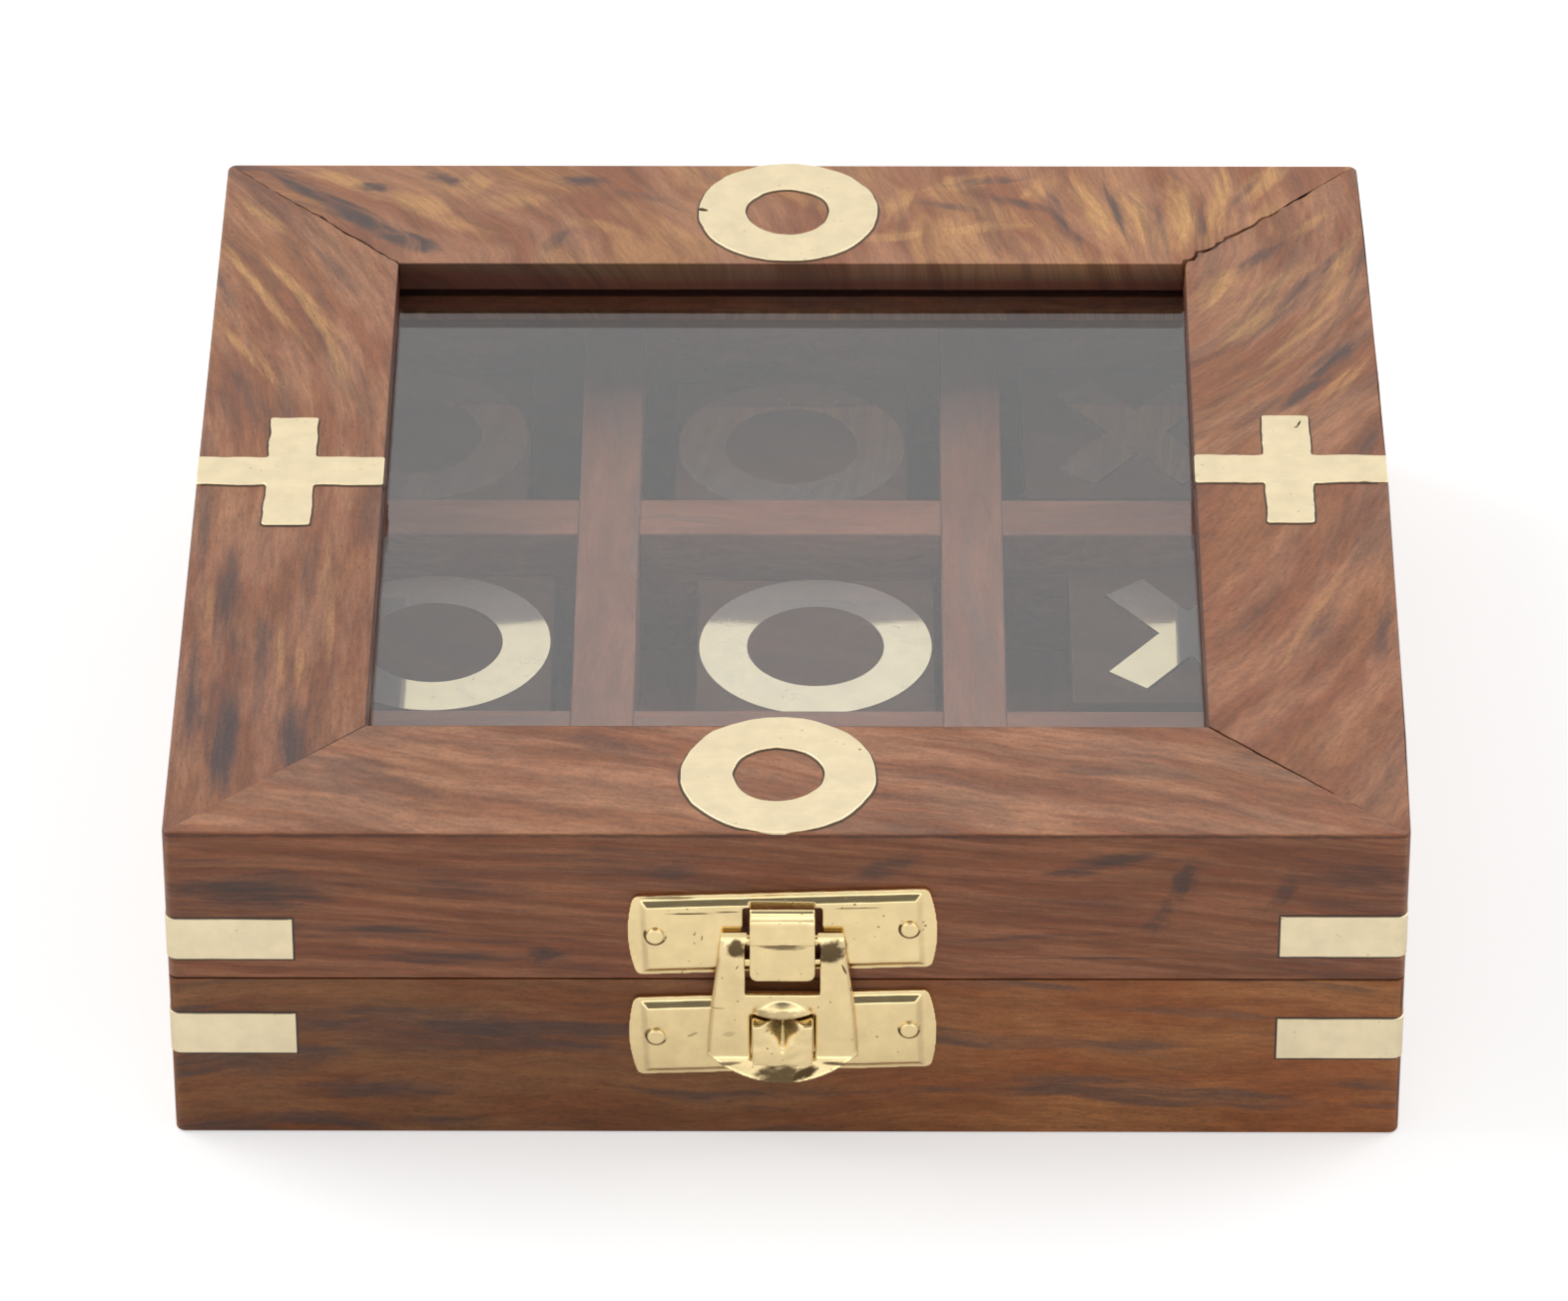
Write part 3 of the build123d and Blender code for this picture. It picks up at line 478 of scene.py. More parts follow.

# %% A thin dark line where two pieces meet, also drawn as painted shade under the lid's front edge
SEAM_INPUTS = {
    "Vector": None,
    "Point": None,
    "Across": None,
    "Half": 0.0001,
    "Run": None,
    "Fades By": 2.0,
    "Strength": 1.0,
}
seam, given, made = new_group("joint dirt and shade line", SEAM_INPUTS, {"Mask": "value"})
wander = seam.add("ShaderNodeTexNoise", {"Vector": given["Vector"], "Scale": 420.0, "Detail": 3.0})
from_point = seam.vectors("SUBTRACT", given["Vector"], given["Point"])
offset = seam.vectors("DOT_PRODUCT", from_point, given["Across"])
crook = seam.maths("SUBTRACT", wander.outputs["Fac"], 0.5)
offset = seam.maths("ABSOLUTE", seam.maths("MULTIPLY_ADD", crook, given["Half"], offset))
line = seam.step(seam.maths("DIVIDE", offset, given["Half"]), 1.0, 0.35)
line = seam.times(line, seam.step(wander.outputs["Fac"], 0.25, 0.55, 0.5, 1.0))
gone = seam.vectors("DOT_PRODUCT", from_point, given["Run"])
line = seam.times(line, seam.step(seam.maths("DIVIDE", gone, given["Fades By"]), 1.0, 0.35))
seam.feed(made.inputs["Mask"], seam.times(line, given["Strength"]))
print("joint dirt and shade line group made")

# %% One board


def strongest_of(wiring, masks):
    """The strongest of several masks, or nothing where there are none."""
    strongest = 0.0
    for mask in masks:
        strongest = mask if strongest == 0.0 else wiring.maths("MAXIMUM", strongest, mask)
    return strongest


TOP_MARK_DEPTH = 30.0 * MM
FRONT_MARK_DEPTH = 8.0 * MM


def marks_on(face, wiring, marks, edge=0.2, ragged=1.6):
    """Marks on the top or the front face.

    Each is x, y (or z on the front), turn in degrees, half length, half width and strength.
    """
    masks = []
    for x, other, degrees, half_long, half_wide, strength in marks:
        turned = math.radians(degrees)
        if face == "top":
            middle = (x * MM, other * MM, TOP_Z)
            turns = (0.0, 0.0, turned)
            half = (half_long * MM, half_wide * MM, TOP_MARK_DEPTH)
        else:
            middle = (x * MM, FRONT_Y, other * MM)
            turns = (0.0, -turned, 0.0)
            half = (half_long * MM, FRONT_MARK_DEPTH, half_wide * MM)
        masks.append(place_group(wiring, "grain mark", {
            "Vector": object_place(wiring), "Centre": middle, "Turn": turns, "Half": half, "Edge": edge,
            "Ragged": ragged, "Strength": strength})["Mask"])
    return strongest_of(wiring, masks)


PORE_DEPTH = 0.10 * MM
# one dark colour for the dirt in the joints and for the painted shade round the window and under the front
# edge of the lid
GRIME_AND_SHADE = (0.030, 0.012, 0.008, 1.0)


def board(name, heart, turn, shape, figure, colours=None, gold_marks=(), dark_marks=(), gloss=0.42, grime_and_shade=(),
          front_dark=(), tints=(), size=1.0):
    """Wood for one board: heart point in mm, turn of its grain about Z, figure, tints (some of them painted
    shade), dirty joints and painted shade lines.
    """
    material, wiring, shader = new_material(name, Specular_IOR_Level=gloss)
    place = wiring.add("ShaderNodeMapping", {"Vector": object_place(wiring)}, vector_type="TEXTURE")
    place.inputs["Location"].default_value = Vector(heart) * MM
    place.inputs["Rotation"].default_value = (0.0, 0.0, math.radians(turn))
    place.inputs["Scale"].default_value = (size * MM, size * MM, size * MM)
    grown = place_group(wiring, "growth shells", {"Vector": place.outputs[0], **shape})
    dark = [marks_on("top", wiring, dark_marks), marks_on("front", wiring, front_dark)]
    dark = strongest_of(wiring, [mask for mask in dark if mask])
    marks = {"Gold Marks": marks_on("top", wiring, gold_marks), "Dark Marks": dark}
    along = wiring.times(grown["Along"], size)
    made_wood = place_group(wiring, "wood figure", {
        "Shell": grown["Shell"], "Along": along, **figure, **marks, **(colours or {})})
    colour = made_wood["Color"]
    for where, tint in tints:
        colour = wiring.blend(where(wiring), colour, tint, "MULTIPLY")
    # dirt in the joints, and painted shade round the window and under the front edge
    for dirt_and_shade in grime_and_shade:
        colour = wiring.blend(dirt_and_shade(wiring), colour, GRIME_AND_SHADE)
    bump = wiring.add("ShaderNodeBump", {"Height": made_wood["Height"], "Strength": 0.3,
                                         "Distance": PORE_DEPTH})
    wiring.feed(shader.inputs["Base Color"], colour)
    wiring.feed(shader.inputs["Roughness"], made_wood["Roughness"])
    wiring.feed(shader.inputs["Normal"], bump.outputs[0])
    return material


print("boards can be made")

# %% Dirt in the joints of the lid, and painted shade round its window and under its front edge
OUTER = {"left": LEFT_X, "right": RIGHT_X, "front": FRONT_Y, "back": BACK_Y}
INNER_EDGE = {"left": WINDOW_LEFT, "right": WINDOW_RIGHT, "front": WINDOW_FRONT, "back": WINDOW_BACK}
MITRE_DIRT = {"back_left": 0.85, "back_right": 0.50, "front_right": 0.64, "front_left": 0.45}


def mitre_line(corner, half=0.13, strength=0.8):
    """A dirty line along one mitre of the lid, strongest at the window."""
    end, side = corner.split("_")
    point = Vector((INNER_EDGE[side], INNER_EDGE[end], TOP_Z))
    run = Vector((OUTER[side], OUTER[end], TOP_Z)) - point
    across = Vector((run.y, -run.x, 0.0)).normalized()

    def mask(wiring):
        return place_group(wiring, "joint dirt and shade line", {
            "Vector": object_place(wiring), "Point": point, "Across": across, "Half": half * MM,
            "Run": run / run.length_squared, "Fades By": MITRE_DIRT[corner], "Strength": strength})["Mask"]
    return mask


def past_window(wiring, margin=0.0):
    """How far a point lies outside the window and a margin round it; below zero inside."""
    x, y, z = wiring.split(object_place(wiring))
    middle_y = (WINDOW_FRONT + WINDOW_BACK) / 2
    past_x = wiring.maths("SUBTRACT", wiring.maths("ABSOLUTE", x), WINDOW_RIGHT + margin)
    past_y = wiring.maths("ABSOLUTE", wiring.maths("SUBTRACT", y, middle_y))
    past_y = wiring.maths("SUBTRACT", past_y, (WINDOW_BACK - WINDOW_FRONT) / 2 + margin)
    return wiring.maths("MAXIMUM", past_x, past_y)


def window_edge_shade(wiring):
    """Painted shade: the upright faces round the window made dark, and a thin dark band along its edge on
    top.
    """
    return wiring.step(past_window(wiring), 0.32 * MM, 0.02 * MM, 0.0, 0.80)


def grows(axis, start, full):
    """A mask that grows along one axis: nothing at start, whole at full."""
    def mask(wiring):
        return wiring.step(wiring.split(object_place(wiring))[axis], start, full)
    return mask


def window_wall(wiring):
    """The upright faces round the window, below their top edge."""
    inside = wiring.step(past_window(wiring, 0.08 * MM), 0.02 * MM, -0.02 * MM)
    return wiring.times(inside, grows("Z", TOP_Z - 0.1 * MM, TOP_Z - 0.5 * MM)(wiring))


def front_edge_shade_line(wiring):
    """Painted shade: a dark line just under the front edge of the lid."""
    line = place_group(wiring, "joint dirt and shade line", {
        "Vector": object_place(wiring), "Across": (0.0, 0.0, 1.0), "Point": (0.0, 0.0, TOP_Z - 0.42 * MM),
        "Half": 0.30 * MM, "Strength": 0.6})["Mask"]
    return wiring.times(line, grows("Y", FRONT_Y + 0.5 * MM, FRONT_Y + 0.2 * MM)(wiring))


def lid_grime_and_shade(side):
    """The dirty mitre joints of one lid rail, and its painted shade round the window and, on the front rail,
    under the front edge.
    """
    places = [window_edge_shade]
    for corner in CORNERS:
        if side in corner.split("_"):
            places.append(mitre_line(corner))
    if side == "front":
        places.append(front_edge_shade_line)
    return places


print("joint dirt is placed")

# %% Places that are lighter or darker than the rest, some of them by painted shade
# the front faces of the lid, which get a painted shade
front_face = grows("Y", FRONT_Y + 0.20 * MM, FRONT_Y + 0.05 * MM)
right_half = grows("X", -15.0 * MM, 45.0 * MM)
front_half = grows("Y", 12.0 * MM, -30.0 * MM)
inner_side_shade = grows("Y", BACK_Y - 4.0 * MM, BACK_Y - 5.0 * MM)  # painted shade on the inside of the rear wall
rear_end = grows("Y", 50.5 * MM, 56.0 * MM)  # the ends of the dividers, in the shade of the lid
rear_half = grows("Y", 2.0 * MM, 14.0 * MM)  # the rear compartments, where hardly any light gets in
print("six masks for tints made")

# %% [markdown]
# ## The boards of this box
# Each board gets the figure that the photograph shows on it: the rear rail is golden and swirled, the
# two side rails have rings that sweep round in wide arcs, the front rail has close, nearly straight
# lines that run a little downhill, and the front faces are darker with long dark streaks; on the lid,
# part of that darkness is painted shade, which also makes its front faces redder than its top.

# %% Streaks and patches of each board
REDDER = {"Wood": (0.258, 0.091, 0.034, 1.0), "Pale": (0.36, 0.170, 0.072, 1.0)}
LEFT_GOLD = [
    (-72.6, 50, -62, 16, 1.1, 0.9), (-69, 43, -64, 18, 1, 0.95), (-65.4, 45, -60, 17, 1.2, 0.9),
    (-62, 37, -68, 16, 1.1, 0.85), (-59.2, 27, -76, 12, 0.8, 0.7), (-72.4, 32, -62, 9, 1, 0.7),
    (-67.8, 25, -70, 10, 0.9, 0.6), (-70.5, 63, -52, 7, 1.6, 0.8), (-63.3, -38, 92, 10, 0.9, 0.7),
    (-60.9, -41, 92, 9, 0.8, 0.7), (-57.8, -26, 92, 17, 0.9, 0.6), (-72.8, -29, 91, 9, 1.2, 0.5),
]
LEFT_DARK = [
    (-69.4, -57, 91, 16, 3.2, 1), (-73.6, -50, 91, 17, 1.8, 0.85), (-61, -56, 91, 12, 2.6, 0.95),
    (-65.6, -40, 91, 15, 1.7, 0.8), (-70.2, -27, 92, 16, 2.6, 0.8), (-60.6, -22, 91, 11, 1.6, 0.7),
    (-74.6, -8, 90, 22, 1.2, 0.6), (-67, 62, -50, 10, 2.8, 0.5), (-70.6, 20, -70, 12, 2.6, 0.55),
    (-60.2, 50, -62, 11, 1.3, 0.45), (-74.6, 44, -75, 10, 1, 0.7), (-64.8, 13, -78, 10, 2.2, 0.45),
]
RIGHT_GOLD = [
    (56.8, 46, 58, 9, 2.6, 0.85), (60.5, 37, 52, 8, 2.4, 0.8), (64.5, 47, 48, 9, 1.8, 0.85),
    (72.6, 51, 72, 13, 1.2, 0.95), (70.2, 42, 60, 12, 0.9, 0.8), (66.8, 34, 54, 12, 0.9, 0.8),
    (62, 25, 48, 10, 0.9, 0.7), (58, 20, 44, 7, 0.8, 0.6), (73, 24, 64, 8, 0.8, 0.6),
    (69, 61, 55, 6, 1.4, 0.7), (66, -30, 68, 14, 1.4, 0.45), (70.5, 22, 60, 8, 1, 0.5),
]
RIGHT_DARK = [
    (70.6, 28.5, 58, 10, 2.1, 1), (66.4, 20.5, 52, 7, 1.8, 0.85), (67, 70, 50, 7, 3, 0.75),
    (74.8, 50, 76, 17, 1, 0.8), (68.2, 47, 58, 13, 1.2, 0.75), (64, 38.5, 52, 12, 1.1, 0.65),
    (61.8, 53, 45, 7, 1.6, 0.7), (74.2, 8, 78, 10, 2, 0.65), (60.5, 16, 46, 9, 1.4, 0.6),
    (66.5, -34, 66, 9, 2.2, 0.45), (74.6, -33, 84, 10, 1.5, 0.75), (58.5, -30, 60, 8, 1.3, 0.4),
]
BACK_GOLD = [
    (-50.2, 66.8, -40, 7.5, 3.8, 1), (-59.4, 71.4, -30, 7, 2.2, 0.9), (-42.5, 71.5, 50, 5, 3, 0.95),
    (-37, 67, 10, 7, 3.2, 0.7), (-44, 61, -25, 7, 2.2, 0.6), (-24, 60, -20, 9, 2, 0.5),
    (14.5, 66.5, 70, 5.5, 2.4, 0.85), (15.5, 58.5, 10, 7, 2, 0.85), (24.5, 60, 12, 9, 2.6, 0.9),
    (22, 71, 35, 6, 3.2, 0.85), (40.6, 64.5, 104, 13, 2.2, 1), (46.2, 63, 98, 12, 2.2, 0.85),
    (52, 64.5, 94, 13, 2.8, 1), (57.2, 66.5, 84, 10, 2.2, 0.9), (33.6, 70.5, 60, 6, 2.4, 0.75),
    (63.5, 72, 60, 7, 2.6, 0.8),
]
BACK_DARK = [
    (-65.4, 69.6, -43, 11, 1.6, 1), (-57.6, 62.6, -38, 9, 2.6, 1), (-51, 57, -27, 7, 3, 1),
    (-60.6, 67, -40, 10, 1.1, 0.95), (-54.6, 60.6, -36, 9, 1.2, 0.9), (-56.4, 70.2, -15, 3.2, 1.7, 0.95),
    (-46.8, 72.2, -25, 3.6, 1.8, 0.85), (-27.6, 71.8, -10, 5, 1.8, 0.9), (-31.5, 57, 55, 5, 2.2, 0.7),
    (-20, 68, -20, 7, 1.5, 0.45), (30, 66.6, -20, 8, 1.3, 0.75), (21, 65.6, -15, 6, 1.2, 0.65),
    (36, 62, 102, 9, 1.4, 0.85), (38, 57, 95, 5, 1.1, 0.65), (43.4, 64, 100, 10, 0.9, 0.9),
    (49.2, 61.5, 96, 10, 0.9, 0.8), (54.8, 62, 90, 8, 0.8, 0.7), (27, 72, 10, 7, 1.4, 0.75),
    (-73, 75, -8, 10, 1.2, 0.9), (60, 68, 60, 6, 1.1, 0.6),
]
FRONT_DARK = [
    (-66, 37.5, -6, 15, 4.4, 1), (-72, 30.5, -4, 8, 1.8, 0.8), (-50, 31.6, -2, 13, 0.8, 0.9),
    (-43, 27.2, 0, 13, 1.2, 0.9), (-30, 27.6, 0, 4.6, 1.9, 1), (-40, 38, -8, 11, 2.2, 0.6),
    (38.5, 41.8, 14, 9, 1.5, 1), (48.6, 39, 75, 5, 1.8, 0.9), (46, 34, 60, 4, 1.8, 0.7),
    (61, 38, 60, 4.5, 2, 0.7), (12, 41, 20, 6, 2, 0.7), (-14, 40.5, 8, 7, 2.2, 0.7), (70, 40, 0, 9, 4, 0.6),
    (37, 27.35, 0, 15, 0.2, 1), (30, 30.5, 3, 13, 0.6, 0.6),
]
WALL_DARK = [
    (-45, 16, -3, 30, 5, 0.85), (-50, 7, 0, 16, 2.2, 0.8), (35, 8, 0, 18, 1.6, 0.7),
    (50, 19, -4, 14, 1, 0.7), (30, 15, -2, 10, 1, 0.6), (-66, 12, 0, 12, 4, 0.6),
]
print("streaks are listed for five boards")

# %% Board materials
# painted shade that makes the front faces of the lid darker and redder than its top
FRONT_FACE_SHADE = (0.97, 0.81, 0.69, 1.0)
WALL_TINT = (1.15, 0.62, 0.52, 1.0)
LID_TINTS = [(window_wall, WALL_TINT), (front_face, FRONT_FACE_SHADE)]


def figure_of(ring, bands, gold, streaks, pores, **more):
    """The figure of a board: width of its rings in mm, and how much it has of each kind of mark."""
    return {"Ring": ring, "Bands": bands, "Gold": gold, "Streaks": streaks, "Pores": pores, **more}


BOARDS = {
    "lid_rail_left": board(
        "left_rail_wood", (-165.0, 5.0, 10.0), 0,
        {"Warp": 3.0, "Warp Size": 35.0, "Straight From": 0.0, "Straight Bend": 0.08},
        figure_of(5.0, 0.85, 0.15, 0.35, 0.5), None, LEFT_GOLD, LEFT_DARK, grime_and_shade=lid_grime_and_shade("left"),
        tints=[*LID_TINTS, (front_half, (0.86, 0.84, 0.88, 1.0))]),
    "lid_rail_right": board(
        "right_rail_wood", (20.0, 62.0, 10.0), 0,
        {"Warp": 3.0, "Warp Size": 30.0, "Straight From": 50.0, "Straight Bend": 0.33},
        figure_of(5.0, 0.85, 0.15, 0.3, 0.35), None, RIGHT_GOLD, RIGHT_DARK, grime_and_shade=lid_grime_and_shade("right"),
        tints=[*LID_TINTS, (front_half, (0.95, 0.90, 0.88, 1.0))]),
    "lid_rail_back": board(
        "rear_rail_wood", (-98.0, 26.0, 0.0), 0, {"Warp": 11.0, "Warp Size": 24.0},
        figure_of(10.0, 0.9, 0.5, 0.25, 0.25, Lines=0.40, Fibres=0.8), None, BACK_GOLD, BACK_DARK,
        grime_and_shade=lid_grime_and_shade("back"), tints=[*LID_TINTS, (right_half, (1.13, 1.12, 1.08, 1.0))]),
    "lid_rail_front": board(
        "front_rail_wood", (-60.0, -150.0, -230.0), 76, {"Warp": 4.0, "Warp Size": 60.0, "Stretch": 6.0},
        figure_of(2.2, 0.8, 0.1, 0.35, 0.35, Lines=0.7), grime_and_shade=lid_grime_and_shade("front"), front_dark=FRONT_DARK,
        tints=LID_TINTS, size=0.62),
    "base_wall_front": board(
        "front_wall_wood", (-60.0, -180.0, -120.0), 90, {"Warp": 7.0, "Warp Size": 40.0, "Stretch": 6.0},
        figure_of(7.0, 0.45, 0.1, 0.7, 0.6), REDDER, gloss=0.3, front_dark=WALL_DARK,
        tints=[(right_half, (1.52, 1.43, 1.28, 1.0))], size=0.75),
    "base_wall_left": board(
        "left_wall_wood", (-190.0, 30.0, -70.0), 0, {"Warp": 7.0, "Stretch": 5.0},
        figure_of(5.0, 0.4, 0.1, 0.7, 0.7), REDDER, gloss=0.3),
    "base_wall_right": board(
        "right_wall_wood", (190.0, -30.0, -60.0), 0, {"Warp": 7.0, "Stretch": 5.0},
        figure_of(5.0, 0.5, 0.2, 0.7, 0.7), REDDER, gloss=0.3),
    "base_wall_back": board(
        "rear_wall_wood", (40.0, 230.0, -60.0), 90, {"Warp": 7.0, "Stretch": 5.0},
        figure_of(5.0, 0.5, 0.2, 0.7, 0.7), REDDER, gloss=0.3, tints=[(inner_side_shade, (0.38, 0.34, 0.34, 1.0))]),
}
print(len(BOARDS), "boards have a figure of their own")

# %% Wood inside the box
INNER = {
    "Wood": (0.150, 0.052, 0.028, 1.0),
    "Pale": (0.22, 0.090, 0.050, 1.0),
    "Golden": (0.23, 0.10, 0.05, 1.0),
}
TILE = {
    "Wood": (0.044, 0.019, 0.012, 1.0),
    "Pale": (0.070, 0.032, 0.020, 1.0),
    "Golden": (0.07, 0.035, 0.02, 1.0),
    "Dark": (0.014, 0.010, 0.008, 1.0),
}
PLAIN = figure_of(5.0, 0.5, 0.1, 0.4, 0.6)
along_y = board("divider_wood_lengthwise", (-210.0, 20.0, -120.0), 0, {"Stretch": 5.0}, PLAIN, INNER,
                gloss=0.2, tints=[(rear_end, (0.42, 0.38, 0.38, 1.0))])
along_x = board("divider_wood_crosswise", (25.0, -230.0, -120.0), 90, {"Stretch": 5.0}, PLAIN, INNER,
                gloss=0.2)
floor_wood = board("floor_wood", (-210.0, 20.0, -120.0), 0, {"Stretch": 5.0}, PLAIN, INNER,
                   gloss=0.2, tints=[(rear_half, (0.40, 0.36, 0.36, 1.0))])
tile_wood = board("piece_wood", (-90.0, -260.0, -90.0), 74, {"Stretch": 4.0}, PLAIN, TILE, gloss=0.08)
BOARDS["floor_panel"] = floor_wood
for name in ("divider_left", "divider_right", "glass_bead_left", "glass_bead_right"):
    BOARDS[name] = along_y
for name in ("divider_front", "divider_back", "glass_bead_front", "glass_bead_back"):
    BOARDS[name] = along_x
for name in nodes:
    if name.startswith("tile_"):
        BOARDS[name] = tile_wood
print(len(BOARDS), "wooden nodes")

# %% [markdown]
# ## Brass
# All the brass on the box is the same pale alloy, but it was worked in different ways. The inlays and
# straps were filed and sanded flush with the wood, which leaves fine scratches in all directions, a
# few pits and a soft shine. The latch is pressed and lacquered sheet: brighter, with small dark
# specks. One group gives the scratches, specks and stains, and each kind sets how much it has.

# %% Shared brass surface
BRASS_INPUTS = {
    "Vector": None,
    "Metal": (0.88, 0.74, 0.46, 1.0),
    "Stain": (0.30, 0.17, 0.07, 1.0),
    "Scratches": 0.5,
    "Specks": 0.3,
    "Stains": 0.2,
    "Gloss": 0.3,
}
BRASS_OUTPUTS = {"Color": "colour", "Roughness": "value", "Height": "value"}
SCRATCH_TURNS = (20.0, -50.0, 80.0)
SCRATCH_SCALE = (180.0, 5200.0, 5200.0)
SPECK = (0.05, 0.03, 0.02, 1.0)
brass, given, made = new_group("brass surface", BRASS_INPUTS, BRASS_OUTPUTS)
stretched = []
for turned in SCRATCH_TURNS:
    lie = brass.add("ShaderNodeMapping", {"Vector": given["Vector"]})
    lie.inputs["Rotation"].default_value = (0.3, 0.2, math.radians(turned))
    lie.inputs["Scale"].default_value = SCRATCH_SCALE
    stretched.append(brass.speckle(lie.outputs[0], 1.0, 2.0, 0.6))
scratch = brass.maths("ADD", stretched[0], brass.maths("MAXIMUM", stretched[1], stretched[2]))
scratch = brass.step(scratch, 0.85, 1.35)
cloud = brass.speckle(given["Vector"], 320.0, 3.0, 0.6)
speck_cells = brass.add("ShaderNodeTexVoronoi", {"Vector": given["Vector"], "Scale": 900.0,
                                                 "Randomness": 1.0})
speck_some = brass.step(brass.speckle(given["Vector"], 240.0, 2.0), 0.50, 0.68)
speck = brass.step(speck_cells.outputs["Distance"], 0.20, 0.08)
speck = brass.times(speck, brass.times(speck_some, given["Specks"]))
stain = brass.step(brass.speckle(given["Vector"], 110.0, 4.0, 0.65), 0.52, 0.74)
stain = brass.times(stain, given["Stains"])
shade = brass.step(cloud, 0.25, 0.75, 0.93, 1.04)
metal = brass.brighten(given["Metal"], shade)
metal = brass.blend(stain, metal, given["Stain"])
metal = brass.blend(speck, metal, SPECK)
brass.feed(made.inputs["Color"], metal)
scratched = brass.times(scratch, given["Scratches"])
rough = brass.maths("MULTIPLY_ADD", scratched, 0.18, given["Gloss"])
rough = brass.maths("MULTIPLY_ADD", brass.maths("ADD", stain, speck), 0.35, rough)
brass.feed(made.inputs["Roughness"], rough)
dents = brass.maths("SUBTRACT", brass.times(scratched, 0.35), speck)
brass.feed(made.inputs["Height"], dents)
print("brass surface group made")

# %% Kinds of brass
SCRATCH_DEPTH = 0.03 * MM


def brass_kind(name, metal, scratches, specks, stains, gloss, bump=0.3, marks=(), coat=None, lean=0.0):
    """A brass finish; coat is the roughness of its lacquer, and lean tips its reflections back."""
    lacquer = {} if coat is None else {"Coat_Weight": 1.0, "Coat_Roughness": coat, "Coat_IOR": 2.5}
    material, wiring, shader = new_material(name, Metallic=1.0, **lacquer)
    made_brass = place_group(wiring, "brass surface", {
        "Vector": object_place(wiring), "Metal": (*metal, 1.0), "Scratches": scratches, "Specks": specks,
        "Stains": stains, "Gloss": gloss})
    dent = wiring.add("ShaderNodeBump", {"Height": made_brass["Height"], "Strength": bump,
                                         "Distance": SCRATCH_DEPTH})
    colour, roughness = made_brass["Color"], made_brass["Roughness"]
    for mark in marks:
        mask = mark(wiring)
        colour = wiring.blend(mask, colour, TARNISH_AND_SHADE)
        roughness = wiring.maths("MULTIPLY_ADD", mask, 0.2, roughness)
    wiring.feed(shader.inputs["Base Color"], colour)
    wiring.feed(shader.inputs["Roughness"], roughness)
    normal = dent.outputs[0]
    if lean:
        sway = wiring.sway(object_place(wiring), 28.0, lean, Detail=1.0)
        sway = wiring.vectors("ADD", sway, (0.0, lean, 0.0))
        normal = wiring.vectors("NORMALIZE", wiring.vectors("ADD", normal, sway))
    wiring.feed(shader.inputs["Normal"], normal)
    return material


print("brass kinds can be made")

# %% Tarnish, nicks and dirt on the brass, and painted shade on the latch
# one dark colour for tarnish, dirt and pits, and for the painted shade on the latch
TARNISH_AND_SHADE = (0.085, 0.052, 0.024, 1.0)
# The spots at z 30.05 and 30.5 mm are painted dark reflections in the shoulder pockets of the hasp, and the
# line at z 31.75 mm is painted shade along the crease of the tongue; the rest are tarnish and dirt.
LATCH_SPOTS = [
    (-11.7, 35, 1, 3, 0.14, 1), (-7.2, 35.25, 2, 1.8, 0.12, 0.9), (8.6, 35.9, 2, 3.4, 0.1, 0.9),
    (-14.2, 36.9, 1, 3.6, 0.26, 0.7), (-1, 11.9, 0, 4, 1.6, 0.95), (1.9, 12.3, 20, 2.4, 0.9, 1),
    (-7.6, 13.35, 3, 2.4, 0.26, 0.8), (6.2, 13.4, -3, 2.2, 0.26, 0.9), (-6.1, 30.5, 0, 1.45, 1.35, 0.95),
    (5.4, 30.05, 0, 2.1, 1.9, 0.95), (7.1, 27.6, -70, 1.1, 0.16, 0.9), (-6, 27.9, 60, 0.4, 0.12, 0.8),
    (8, 24.3, -80, 0.5, 0.2, 0.6), (-10.3, 31.3, 80, 0.5, 0.1, 0.8), (-7, 17.6, 10, 1, 0.5, 0.25),
    (-8.5, 21.6, 0, 1.2, 0.14, 0.5), (-12.2, 22, 1, 1.6, 0.22, 0.5), (-11.6, 16.4, 30, 0.8, 0.22, 0.5),
    (-0.6, 21, 0, 3.6, 1, 0.6), (-0.45, 31.75, 0, 3.6, 0.55, 0.8), (-0.4, 19.6, 0, 3.2, 0.9, 0.5),
]
INLAY_SPOTS = [
    (-11.9, 64.3, -20, 0.85, 0.38, 1), (-5.9, 64.7, 0, 0.22, 0.2, 0.9), (-5, 65.9, 40, 0.3, 0.16, 0.8),
    (65.8, 13.2, 70, 0.75, 0.16, 1), (65.4, 12.4, 10, 0.3, 0.16, 1), (-2.6, -60, 20, 1.6, 0.1, 0.5),
    (9, -58.8, 80, 0.25, 0.22, 0.6),
]
NAILS = [(-16.05, 31.6), (15.15, 32.7), (-16.05, 16.2), (15.15, 17.3)]
NAIL_HEAD = 1.28 * MM
DIRT_BELOW = (-0.35, 0.0, -0.94)


def latch_tarnish_and_shade(wiring):
    """Tarnish and dirt on the latch, with painted dark reflections in the shoulder pockets and painted shade
    along the crease of the tongue.
    """
    return marks_on("front", wiring, LATCH_SPOTS, edge=0.65, ragged=1.1)


def inlay_spots(wiring):
    """Pits and nicks in the inlays of the lid."""
    return marks_on("top", wiring, INLAY_SPOTS, edge=0.75, ragged=1.0)


